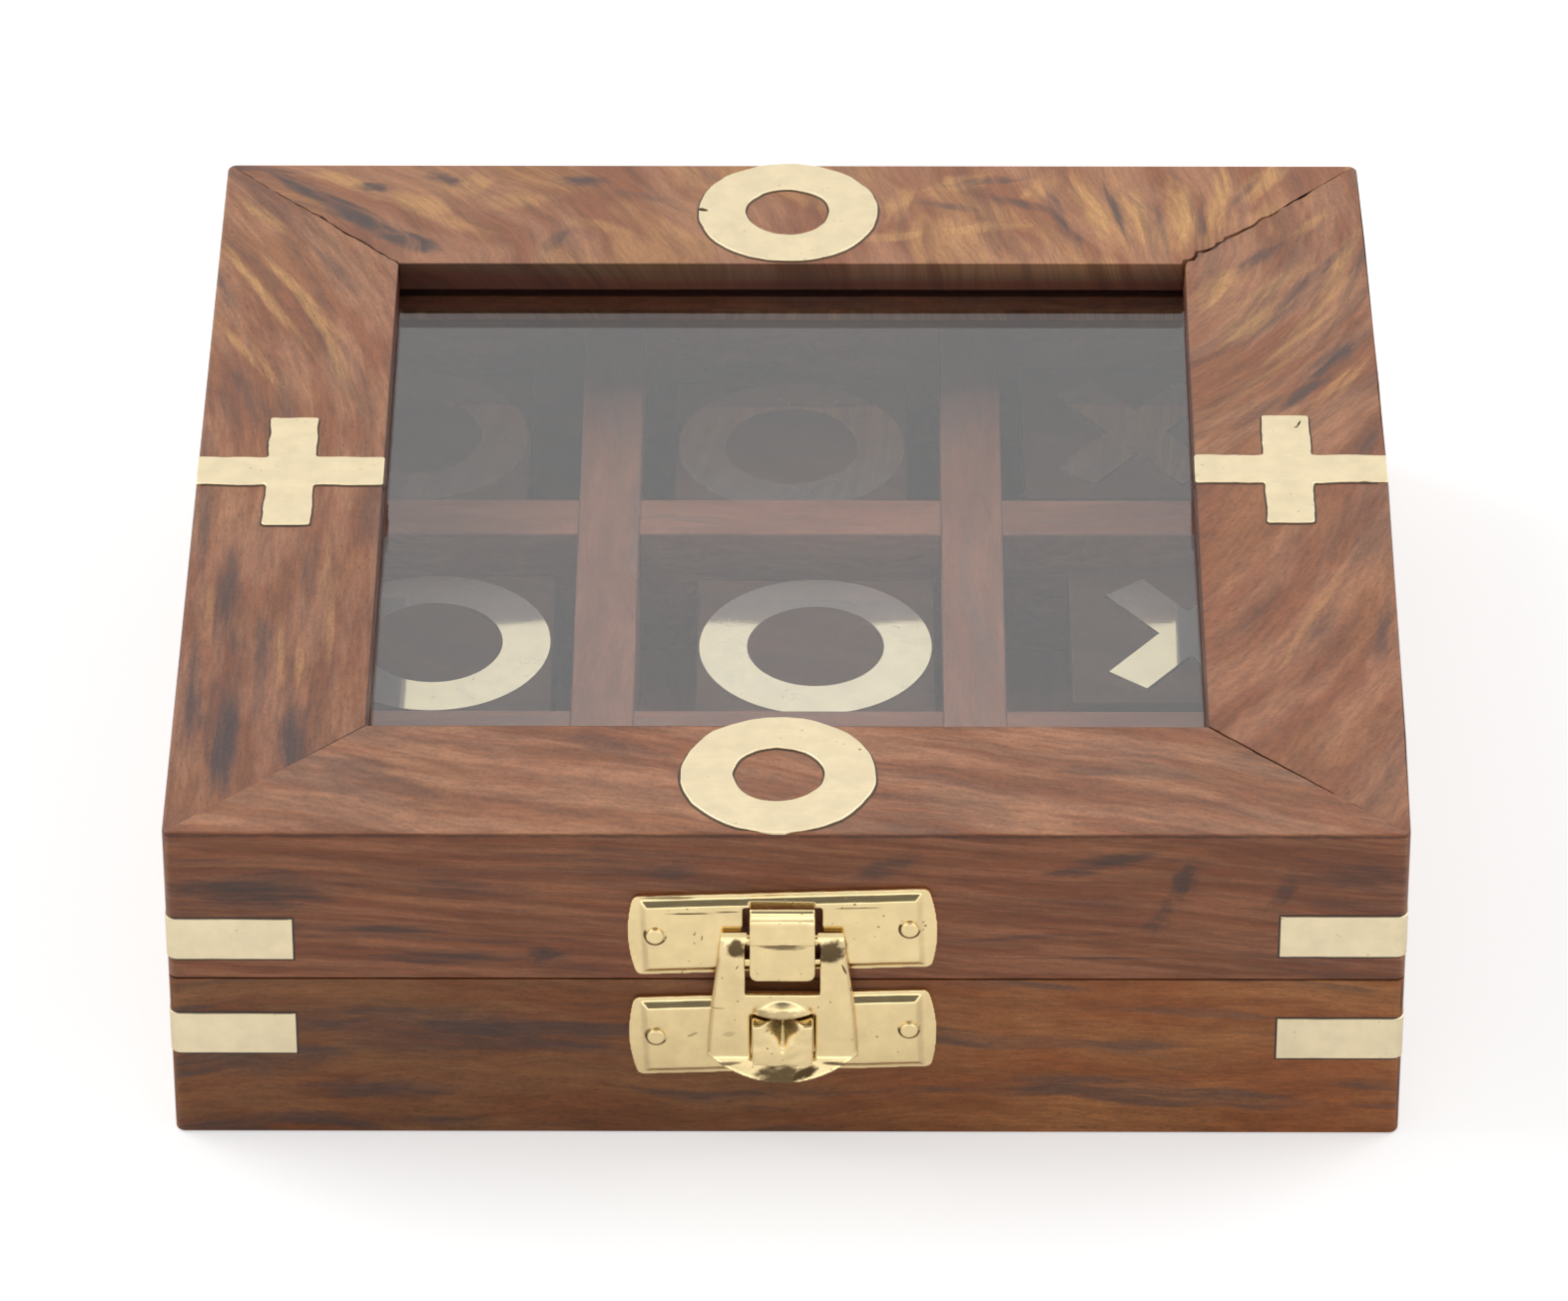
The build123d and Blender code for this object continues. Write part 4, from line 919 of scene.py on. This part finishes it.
def nail_dirt(wiring):
    """A broken dark ring round each nail head, heaviest below it."""
    rings = []
    x, y, z = wiring.split(object_place(wiring))
    patchy = wiring.speckle(object_place(wiring), 700.0, 3.0, 0.6)
    for nail_x, nail_z in NAILS:
        away_x = wiring.maths("SUBTRACT", x, nail_x * MM)
        away_z = wiring.maths("SUBTRACT", z, nail_z * MM)
        away = wiring.join(away_x, 0.0, away_z)
        ring = wiring.maths("SUBTRACT", wiring.vectors("LENGTH", away), NAIL_HEAD)
        ring = wiring.step(wiring.maths("ABSOLUTE", ring), 0.26 * MM, 0.05 * MM)
        below = wiring.vectors("DOT_PRODUCT", wiring.vectors("NORMALIZE", away), DIRT_BELOW)
        share = wiring.maths("ADD", wiring.step(below, -0.6, 0.9, 0.0, 0.42), patchy)
        rings.append(wiring.times(ring, wiring.step(share, 0.50, 0.72)))
    return strongest_of(wiring, rings)


BRASS = {
    "inlay_brass": brass_kind("filed_inlay_brass", (0.84, 0.715, 0.475), 0.8, 0.35, 0.06, 0.34,
                              marks=(inlay_spots,)),
    "symbol_brass": brass_kind("polished_symbol_brass", (0.96, 0.79, 0.51), 0.1, 0.2, 0.05, 0.03,
                               coat=0.45, lean=0.042),
    "latch_brass": brass_kind("pressed_latch_brass", (0.875, 0.69, 0.37), 0.3, 0.8, 0.10, 0.17,
                              marks=(latch_tarnish_and_shade, nail_dirt)),
    "hinge_brass": brass_kind("dull_hinge_brass", (0.70, 0.54, 0.27), 0.8, 0.5, 0.4, 0.36),
}
print("brass kinds:", ", ".join(BRASS))

# %% [markdown]
# ## Glass
# The pane is clear sheet glass. From this side it works half as a mirror: it throws the white ground
# back at the camera as an even grey haze over the dark compartments. A lamp's light has to get
# through it as well, so for shadow rays the pane is simply clear.

# %% Window glass
GLASS_COLOUR = (0.96, 0.98, 0.97, 1.0)
GLASS_TINT = (1.0, 0.97, 0.965, 1.0)
glass, wiring, shader = new_material("window_glass", Base_Color=GLASS_COLOUR, Roughness=0.01, IOR=1.66,
                                     Transmission_Weight=1.0, Specular_Tint=GLASS_TINT)
rays = wiring.add("ShaderNodeLightPath").outputs
clear = wiring.add("ShaderNodeBsdfTransparent")
through = wiring.add("ShaderNodeMixShader", {0: rays["Is Shadow Ray"]})
wiring.feed(through.inputs[1], shader.outputs[0])
wiring.feed(through.inputs[2], clear.outputs[0])
wiring.feed(wiring.find("OUTPUT_MATERIAL").inputs["Surface"], through.outputs[0])


def dress(node, material):
    """Gives a CAD node one material."""
    nodes[node].data.materials.clear()
    nodes[node].data.materials.append(material)


dress("window_glass", glass)
print("glass set")

# %% [markdown]
# ## Softening the edges of wood
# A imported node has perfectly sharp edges, and its mesh is loose triangles that Blender must not
# change. So each wooden piece is copied: the doubles are merged, the flat faces are joined again, and
# its long edges get a small bevel, as a sanding block leaves them. The two bevels that meet along
# a mitre also draw the fine line that such a joint shows. The copy then stands for the node.

# %% Copies that stand for CAD nodes
SHARP = math.radians(30)
LARGE_FACE = 8.0 * MM * MM
TINY_FACE = 0.05 * MM * MM
LEVEL = 0.999999


def copy_of(node):
    """A clean copy of a CAD node's mesh, with its flat faces joined again."""
    shape = bmesh.new()
    shape.from_mesh(nodes[node].data)
    bmesh.ops.remove_doubles(shape, verts=shape.verts, dist=0.001 * MM)
    bmesh.ops.dissolve_limit(shape, angle_limit=math.radians(1.0), use_dissolve_boundaries=False,
                             verts=shape.verts, edges=shape.edges)
    return shape


def sharp_edges(shape, longer_than=0.0):
    """Edges where two faces meet at a clear angle."""
    return [e for e in shape.edges
            if e.is_manifold and e.calc_face_angle(0.0) > SHARP and e.calc_length() > longer_than]


def rise(edge):
    """How far an edge climbs."""
    return abs(edge.verts[0].co.z - edge.verts[1].co.z)


def ease(shape, edges, width, segments=2):
    """Rounds edges over."""
    bmesh.ops.bevel(shape, geom=edges, affect="EDGES", offset=width, offset_type="OFFSET", segments=segments,
                    profile=0.5, material=-1, clamp_overlap=False)


def is_flat(face):
    """Large faces, and smaller ones that lie square to the box, have no curve to show."""
    area = face.calc_area()
    return area > LARGE_FACE or (area > TINY_FACE and max(abs(part) for part in face.normal) > LEVEL)


def add_piece(shape, name, material, body):
    """Makes a bmesh into a piece that rides on a body; its large and its level faces stay flat."""
    shape.normal_update()
    flat = [is_flat(face) for face in shape.faces]
    mesh = mesh_of(name, shape)
    mesh.set_sharp_from_angle(angle=SHARP)
    for polygon, stays_flat in zip(mesh.polygons, flat):
        polygon.use_smooth = not stays_flat
    piece = new_object(name, mesh)
    mesh.materials.append(material)
    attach(piece, body)
    return piece


def stand_for(node, shape, name, material):
    """Turns a shape into the piece that is shown in place of a node."""
    keep_inside(shape, *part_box(node))
    piece = add_piece(shape, name, material, BODY_OF[node])
    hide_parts(node)
    return piece


print("copies of nodes can be made")

# %% Hand-made unevenness
NOISE_SEED = 120  # without a seed of its own, this noise would be another one each run
noise.seed_set(NOISE_SEED)


def cut_long(shape, edges, piece_length):
    """Divides edges so that no stretch is longer than piece_length."""
    by_count = {}
    for edge in edges:
        by_count.setdefault(int(edge.calc_length() / piece_length), []).append(edge)
    for count, group in by_count.items():
        if count:
            bmesh.ops.subdivide_edges(shape, edges=[e for e in group if e.is_valid], cuts=count)


def drift(place, size, reach):
    """A smooth random shift in mm-sized waves, the same each run."""
    return noise.noise_vector(place / (size * MM)) * (reach * MM)


def keep_inside(shape, low, high):
    """Keeps every point inside a box."""
    for v in shape.verts:
        v.co = Vector(max(low[i], min(high[i], v.co[i])) for i in range(3))


print("edges can be divided and made uneven")

# %% [markdown]
# ## Mitre joints that have opened
# The four rails of the lid meet in mitres. On the real box the wood has shrunk a little: three of the
# joints have opened from the window outwards, into thin crooked cracks, and one is still tight. The
# edge of a rail along its mitre is divided, both rails get the same crooked line, and then each edge
# draws back from it, by nothing at the outer corner and most near the window.

# %% Cracks between the rails
CRACKS = {  # how wide in mm at the window, how far along the mitre, and how crooked in mm
    "back_left": (0.14, 0.82, 0.55),
    "back_right": (0.36, 0.56, 1.10),
    "front_right": (0.15, 0.64, 0.14),
    "front_left": (0.04, 0.30, 0.04),
}


def open_mitre(shape, corner):
    """Draws one end of a rail back from its mitre and makes the edge crooked."""
    width, length, crook = CRACKS[corner]
    end, wing = corner.split("_")
    inner = Vector((INNER_EDGE[wing], INNER_EDGE[end], 0.0))
    run = Vector((OUTER[wing], OUTER[end], 0.0)) - inner
    across = Vector((run.y, -run.x, 0.0)).normalized()
    middle = sum((v.co for v in shape.verts), Vector()) / len(shape.verts)
    own_side = 1.0 if (middle - inner).dot(across) > 0 else -1.0

    def on_mitre(v):
        return abs((v.co - inner).dot(across)) < 0.02 * MM and v.co.z > TOP_Z - 0.1 * MM

    edges = [e for e in shape.edges if all(on_mitre(v) for v in e.verts)]
    cut_long(shape, edges, 0.9 * MM)
    line = [v for v in shape.verts if on_mitre(v)]
    opened = set()
    for v in line:
        share = max(0.0, min(1.0, (v.co - inner).dot(run) / run.length_squared))
        gap = width * MM * max(0.0, 1.0 - share / length) ** 0.35
        wiggle = drift(Vector((v.co.x, v.co.y, 3.0)), 1.7, crook).x * max(0.0, 1.0 - share) ** 0.5
        wiggle += drift(Vector((v.co.x, v.co.y, 7.0)), 0.6, crook * 0.4).x * max(0.0, 1.0 - share) ** 0.5
        v.co += across * (own_side * gap + wiggle)
        if share < length:
            opened.add(v)
    return opened


print("mitres can open")

# %% Sanded wooden pieces
SANDED = {"lid_rail": 0.12 * MM, "base_wall": 0.12 * MM, "divider": 0.25 * MM, "tile": 0.35 * MM}
LONG = 4.0 * MM

for node, material in BOARDS.items():
    kind = next((k for k in SANDED if node.startswith(k)), None)
    if kind is None:
        dress(node, material)
        continue
    shape = copy_of(node)
    edges = sharp_edges(shape, LONG)
    if kind == "lid_rail":
        side = node.split("_")[-1]
        opened = set()
        for corner in CORNERS:
            if side in corner.split("_"):
                opened |= open_mitre(shape, corner)
        edges = [e for e in sharp_edges(shape) if e.calc_length() > LONG or all(v in opened for v in e.verts)]
        edges = [e for e in edges if rise(e) < 1.0 * MM]
        edges = [e for e in edges if not LID_LOW.z + 0.5 * MM < e.verts[0].co.z < TOP_Z - 1.0 * MM]
    ease(shape, edges, SANDED[kind])
    stand_for(node, shape, f"{node}_sanded", material)
print("wooden pieces finished")

# %% [markdown]
# ## Inlays cut by hand
# The rings and crosses on the lid were sawn out of sheet brass and filed to fit, so their outlines
# waver by a tenth of a millimetre and their corners are round. They stand a little proud of the wood,
# with a narrow worn edge that catches the light. Round each of them runs a dark line of the resin
# that holds it, which is a separate thin piece here, a little wider than the brass. It is set a little
# towards the front, so that on that side it is also a painted shadow under the raised edge.

# %% Dark resin
RESIN_DARK = (0.030, 0.016, 0.010, 1.0)
RESIN_PALE = (0.085, 0.042, 0.022, 1.0)
RESIN, wiring, shader = new_material("dark_resin", Roughness=0.35, Specular_IOR_Level=0.5)
tones = wiring.speckle(object_place(wiring), 900.0, 3.0)
wiring.feed(shader.inputs["Base Color"], wiring.blend(tones, RESIN_DARK, RESIN_PALE))
print("resin mixed")

# %% Filed brass
RESIN_RAISE = 0.03 * MM
RESIN_WIDTH = 0.21
RESIN_SHADOW_SHIFT = 0.10 * MM
FILED_WAVER = 0.21
CLEAR = 0.6 * MM
FILED_ROUND = 0.45 * MM
FILED_EDGE = 0.14 * MM
CROSS_EDGES = 20  # a ring has more upright edges than this, and a cross fewer


def filed_outline(node, wander, grow=0.0):
    """A CAD inlay with rounded corners and a wavering outline, wider by grow."""
    shape = copy_of(node)
    low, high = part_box(node)
    upright = [e for e in sharp_edges(shape) if rise(e) > 0.5 * MM]
    if len(upright) < CROSS_EDGES:
        clear = [e for e in upright if abs(e.verts[0].co.x) < RIGHT_X - 0.5 * MM]
        ease(shape, clear, FILED_ROUND, 3)
    flat = [e for e in shape.edges if rise(e) < 0.01 * MM]
    cut_long(shape, flat, 0.8 * MM)
    shape.normal_update()
    for v in shape.verts:
        outward = sum((f.normal for f in v.link_faces if abs(f.normal.z) < 0.3), Vector())
        outward.z = 0.0
        outward = outward.normalized() if outward.length > 0.1 else outward
        flat_place = Vector((v.co.x, v.co.y, 0.05))
        push = drift(flat_place, 3.5, wander).x + drift(flat_place, 1.2, wander * 0.45).y
        v.co += outward * (push + grow * MM)
    return shape, low, high


def filed_inlay(node):
    """One inlay and the resin line round it, moved to the front where it is also a painted shadow under the
    raised brass.
    """
    shape, low, high = filed_outline(node, FILED_WAVER)
    top = [e for e in shape.edges if all(v.co.z > high.z - 0.01 * MM for v in e.verts)
           and e.is_manifold and e.calc_face_angle(0.0) > SHARP]
    keep_inside(shape, low, high)
    ease(shape, top, FILED_EDGE)
    stand_for(node, shape, f"{node}_filed", BRASS["inlay_brass"])
    line, low, high = filed_outline(node, FILED_WAVER, RESIN_WIDTH)
    for v in line.verts:
        # moving the resin line towards the front makes it wider on that side, as a painted shadow under the
        # raised edge
        v.co.y -= RESIN_SHADOW_SHIFT
        if v.co.z > TOP_Z - 0.3 * MM:
            v.co.z = TOP_Z + RESIN_RAISE
    least = Vector((LEFT_X + CLEAR, FRONT_Y + CLEAR, low.z))
    most = Vector((RIGHT_X - CLEAR, BACK_Y - CLEAR, TOP_Z + RESIN_RAISE))
    keep_inside(line, least, most)
    add_piece(line, f"{node}_resin_line", RESIN, "lid")


for node in nodes:
    if node.startswith(("lid_ring", "lid_plus")):
        filed_inlay(node)
print("inlays filed and set in resin")

# %% [markdown]
# ## Corner straps
# A brass strap runs round each corner of lid and base, let into the wood. It was bent from strip and
# filed after it was fitted, so its long edges are nearly straight and only wander a little. The same
# copy, made slightly larger and drawn back to just above the wood, is the resin line round it.

# %% Straps round the corners
STRAP_WANDER = 0.10
STRAP_EDGE = 0.05 * MM
STRAP_PROUD = 0.12 * MM
STRAP_LONGEST = 15.0 * MM
RESIN_STRAP = 0.24 * MM


def filed_strap(node):
    """One corner strap, with crooked ends, and the resin line round it."""
    low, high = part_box(node)
    middle = (low.z + high.z) / 2
    shape = copy_of(node)
    level = [e for e in shape.edges if rise(e) < 0.01 * MM]
    cut_long(shape, level, 0.9 * MM)
    for v in shape.verts:
        push = drift(Vector((v.co.x, v.co.y, 0.02 if v.co.z > middle else 0.07)), 3.0, STRAP_WANDER)
        v.co.z += push.z
        v.co.x += push.x * 0.2
    keep_inside(shape, low, high)
    ease(shape, sharp_edges(shape), STRAP_EDGE, 1)
    stand_for(node, shape, f"{node}_filed", BRASS["inlay_brass"])
    line = copy_of(node)
    shrink = (RIGHT_X + RESIN_RAISE) / (RIGHT_X + STRAP_PROUD)
    for v in line.verts:
        v.co.z += math.copysign(RESIN_STRAP, v.co.z - middle)
        at_end_x = abs(v.co.x) < RIGHT_X - STRAP_LONGEST
        at_end_y = abs(v.co.y) < BACK_Y - STRAP_LONGEST
        v.co.x = v.co.x - math.copysign(RESIN_STRAP, v.co.x) if at_end_x else v.co.x * shrink
        v.co.y = v.co.y - math.copysign(RESIN_STRAP, v.co.y) if at_end_y else v.co.y * shrink
    body = BODY_OF[node]
    add_piece(line, f"{node}_resin_line", RESIN, body)


for node in nodes:
    if "_strap_" in node:
        filed_strap(node)
print("straps filed")

# %% [markdown]
# ## The latch
# The latch is pressed out of thin brass sheet: a plate on the lid whose tongue is bent over the
# hasp's bar, the hasp itself with a window, a slot and a small dome, and a plate on the base with
# the catch. A press leaves no sharp edge anywhere. Bevels on so many small faces would run into each
# other, so each piece is remeshed into tiny even faces and smoothed, which rounds every fold and rim
# alike. The small faces can also carry the slight dents that make reflections in thin sheet wander.

# %% Pressed sheet
VOXEL = 0.13 * MM
ROUNDING_STEPS = 4
DENTS = 0.030
RIM_WAVER = 0.05


def pressed_copy(node):
    """A CAD piece with its edges rounded as a press leaves them, in small even faces."""
    source = new_object(f"{node}_source", mesh_of(f"{node}_source", copy_of(node)))
    remesh = source.modifiers.new("even faces", "REMESH")
    remesh.mode = "VOXEL"
    remesh.voxel_size = VOXEL
    even = bpy.data.meshes.new_from_object(source.evaluated_get(bpy.context.evaluated_depsgraph_get()))
    shape = bmesh.new()
    shape.from_mesh(even)
    bpy.data.objects.remove(source)
    bpy.data.meshes.remove(even)
    for step in range(ROUNDING_STEPS):
        bmesh.ops.smooth_vert(shape, verts=shape.verts, factor=0.5,
                              use_axis_x=True, use_axis_y=True, use_axis_z=True)
    for v in shape.verts:
        v.co.y += drift(v.co, 5.0, DENTS).y + drift(v.co, 1.8, DENTS * 0.25).y
        v.co += drift(v.co, 3.0, RIM_WAVER) * 0.5
    return shape


print("latch sheet is rounded by", ROUNDING_STEPS, "steps of smoothing")

# %% Latch pieces
LATCH_MIDDLE = (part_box("catch_plate")[0].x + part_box("catch_plate")[1].x) / 2
BAR_RADIUS = 0.75 * MM
BAR_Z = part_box("latch_hasp")[1].z - BAR_RADIUS
TONGUE_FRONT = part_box("latch_plate")[0].y
TONGUE_DEEP = 1.5 * MM
TONGUE_BOW = 1.0 * MM
TONGUE_RISE = 4.3 * MM
CORNER_DEEP = 2.65 * MM
CORNER_TALL = 1.3 * MM
CURL_START = BAR_Z - 3.2 * MM
CURL = 0.8 * MM
SHOULDER = 4.4 * MM
HASP_BACK = FRONT_Y - 2.0 * MM
CATCH_DEEP = 2.5 * MM
GROOVE_FILL = 0.38


def bow_tongue(shape):
    """Tightens the bend at the top of the tongue and leans its upper front back in a curve."""
    corner_z = max(v.co.z for v in shape.verts if v.co.y < TONGUE_FRONT + TONGUE_DEEP) - CORNER_TALL
    for v in shape.verts:
        deep = (TONGUE_FRONT + CORNER_DEEP - v.co.y) / CORNER_DEEP
        tall = (v.co.z - corner_z) / CORNER_TALL
        if deep > 0 and tall > 0:
            tighter = math.hypot(deep, tall) / (deep ** 8 + tall ** 8) ** 0.125
            v.co.y -= (tighter - 1.0) * deep * CORNER_DEEP
            v.co.z += (tighter - 1.0) * tall * CORNER_TALL
    for v in shape.verts:
        share = (v.co.z - BAR_Z) / TONGUE_RISE
        if v.co.y < TONGUE_FRONT + TONGUE_DEEP and share > 0:
            v.co.y += TONGUE_BOW * share ** 2


def curl_hasp(shape):
    """Curls the two shoulders of the hasp back over its bar."""
    for v in shape.verts:
        share = (v.co.z - CURL_START) / (BAR_Z - CURL_START)
        if 0 < share and abs(v.co.x - LATCH_MIDDLE) > SHOULDER and v.co.y < HASP_BACK:
            v.co.y += CURL * min(share, 1.0) ** 2 * (HASP_BACK - v.co.y) / BAR_RADIUS


def dent_catch(shape):
    """Makes the groove of the catch shallower, and its front uneven, as a bent scrap of sheet is."""
    front = min(v.co.y for v in shape.verts)
    for v in shape.verts:
        share = max(0.0, 1.0 - (v.co.y - front) / CATCH_DEEP)
        v.co.y -= GROOVE_FILL * share * (v.co.y - front)
        v.co.y += share * drift(v.co, 2.0, 0.25).y


PRESSED = {"latch_plate": bow_tongue, "latch_hasp": curl_hasp, "catch_plate": dent_catch}
for node, finish_shape in PRESSED.items():
    shape = pressed_copy(node)
    finish_shape(shape)
    print(node, "has", len(shape.faces), "faces")
    stand_for(node, shape, f"{node}_pressed", BRASS["latch_brass"])

# %% [markdown]
# ## Finish for what is left
# The hinges, nails, screws and the symbols of the playing pieces have the right shape already. They
# keep their own meshes, and only take the kind of brass that their slot in the record names.

# %% Plain finish for the other brass nodes
for node in nodes:
    if SLOT_OF[node] in BRASS:
        dress(node, BRASS[SLOT_OF[node]])
print("every brass node has its finish")
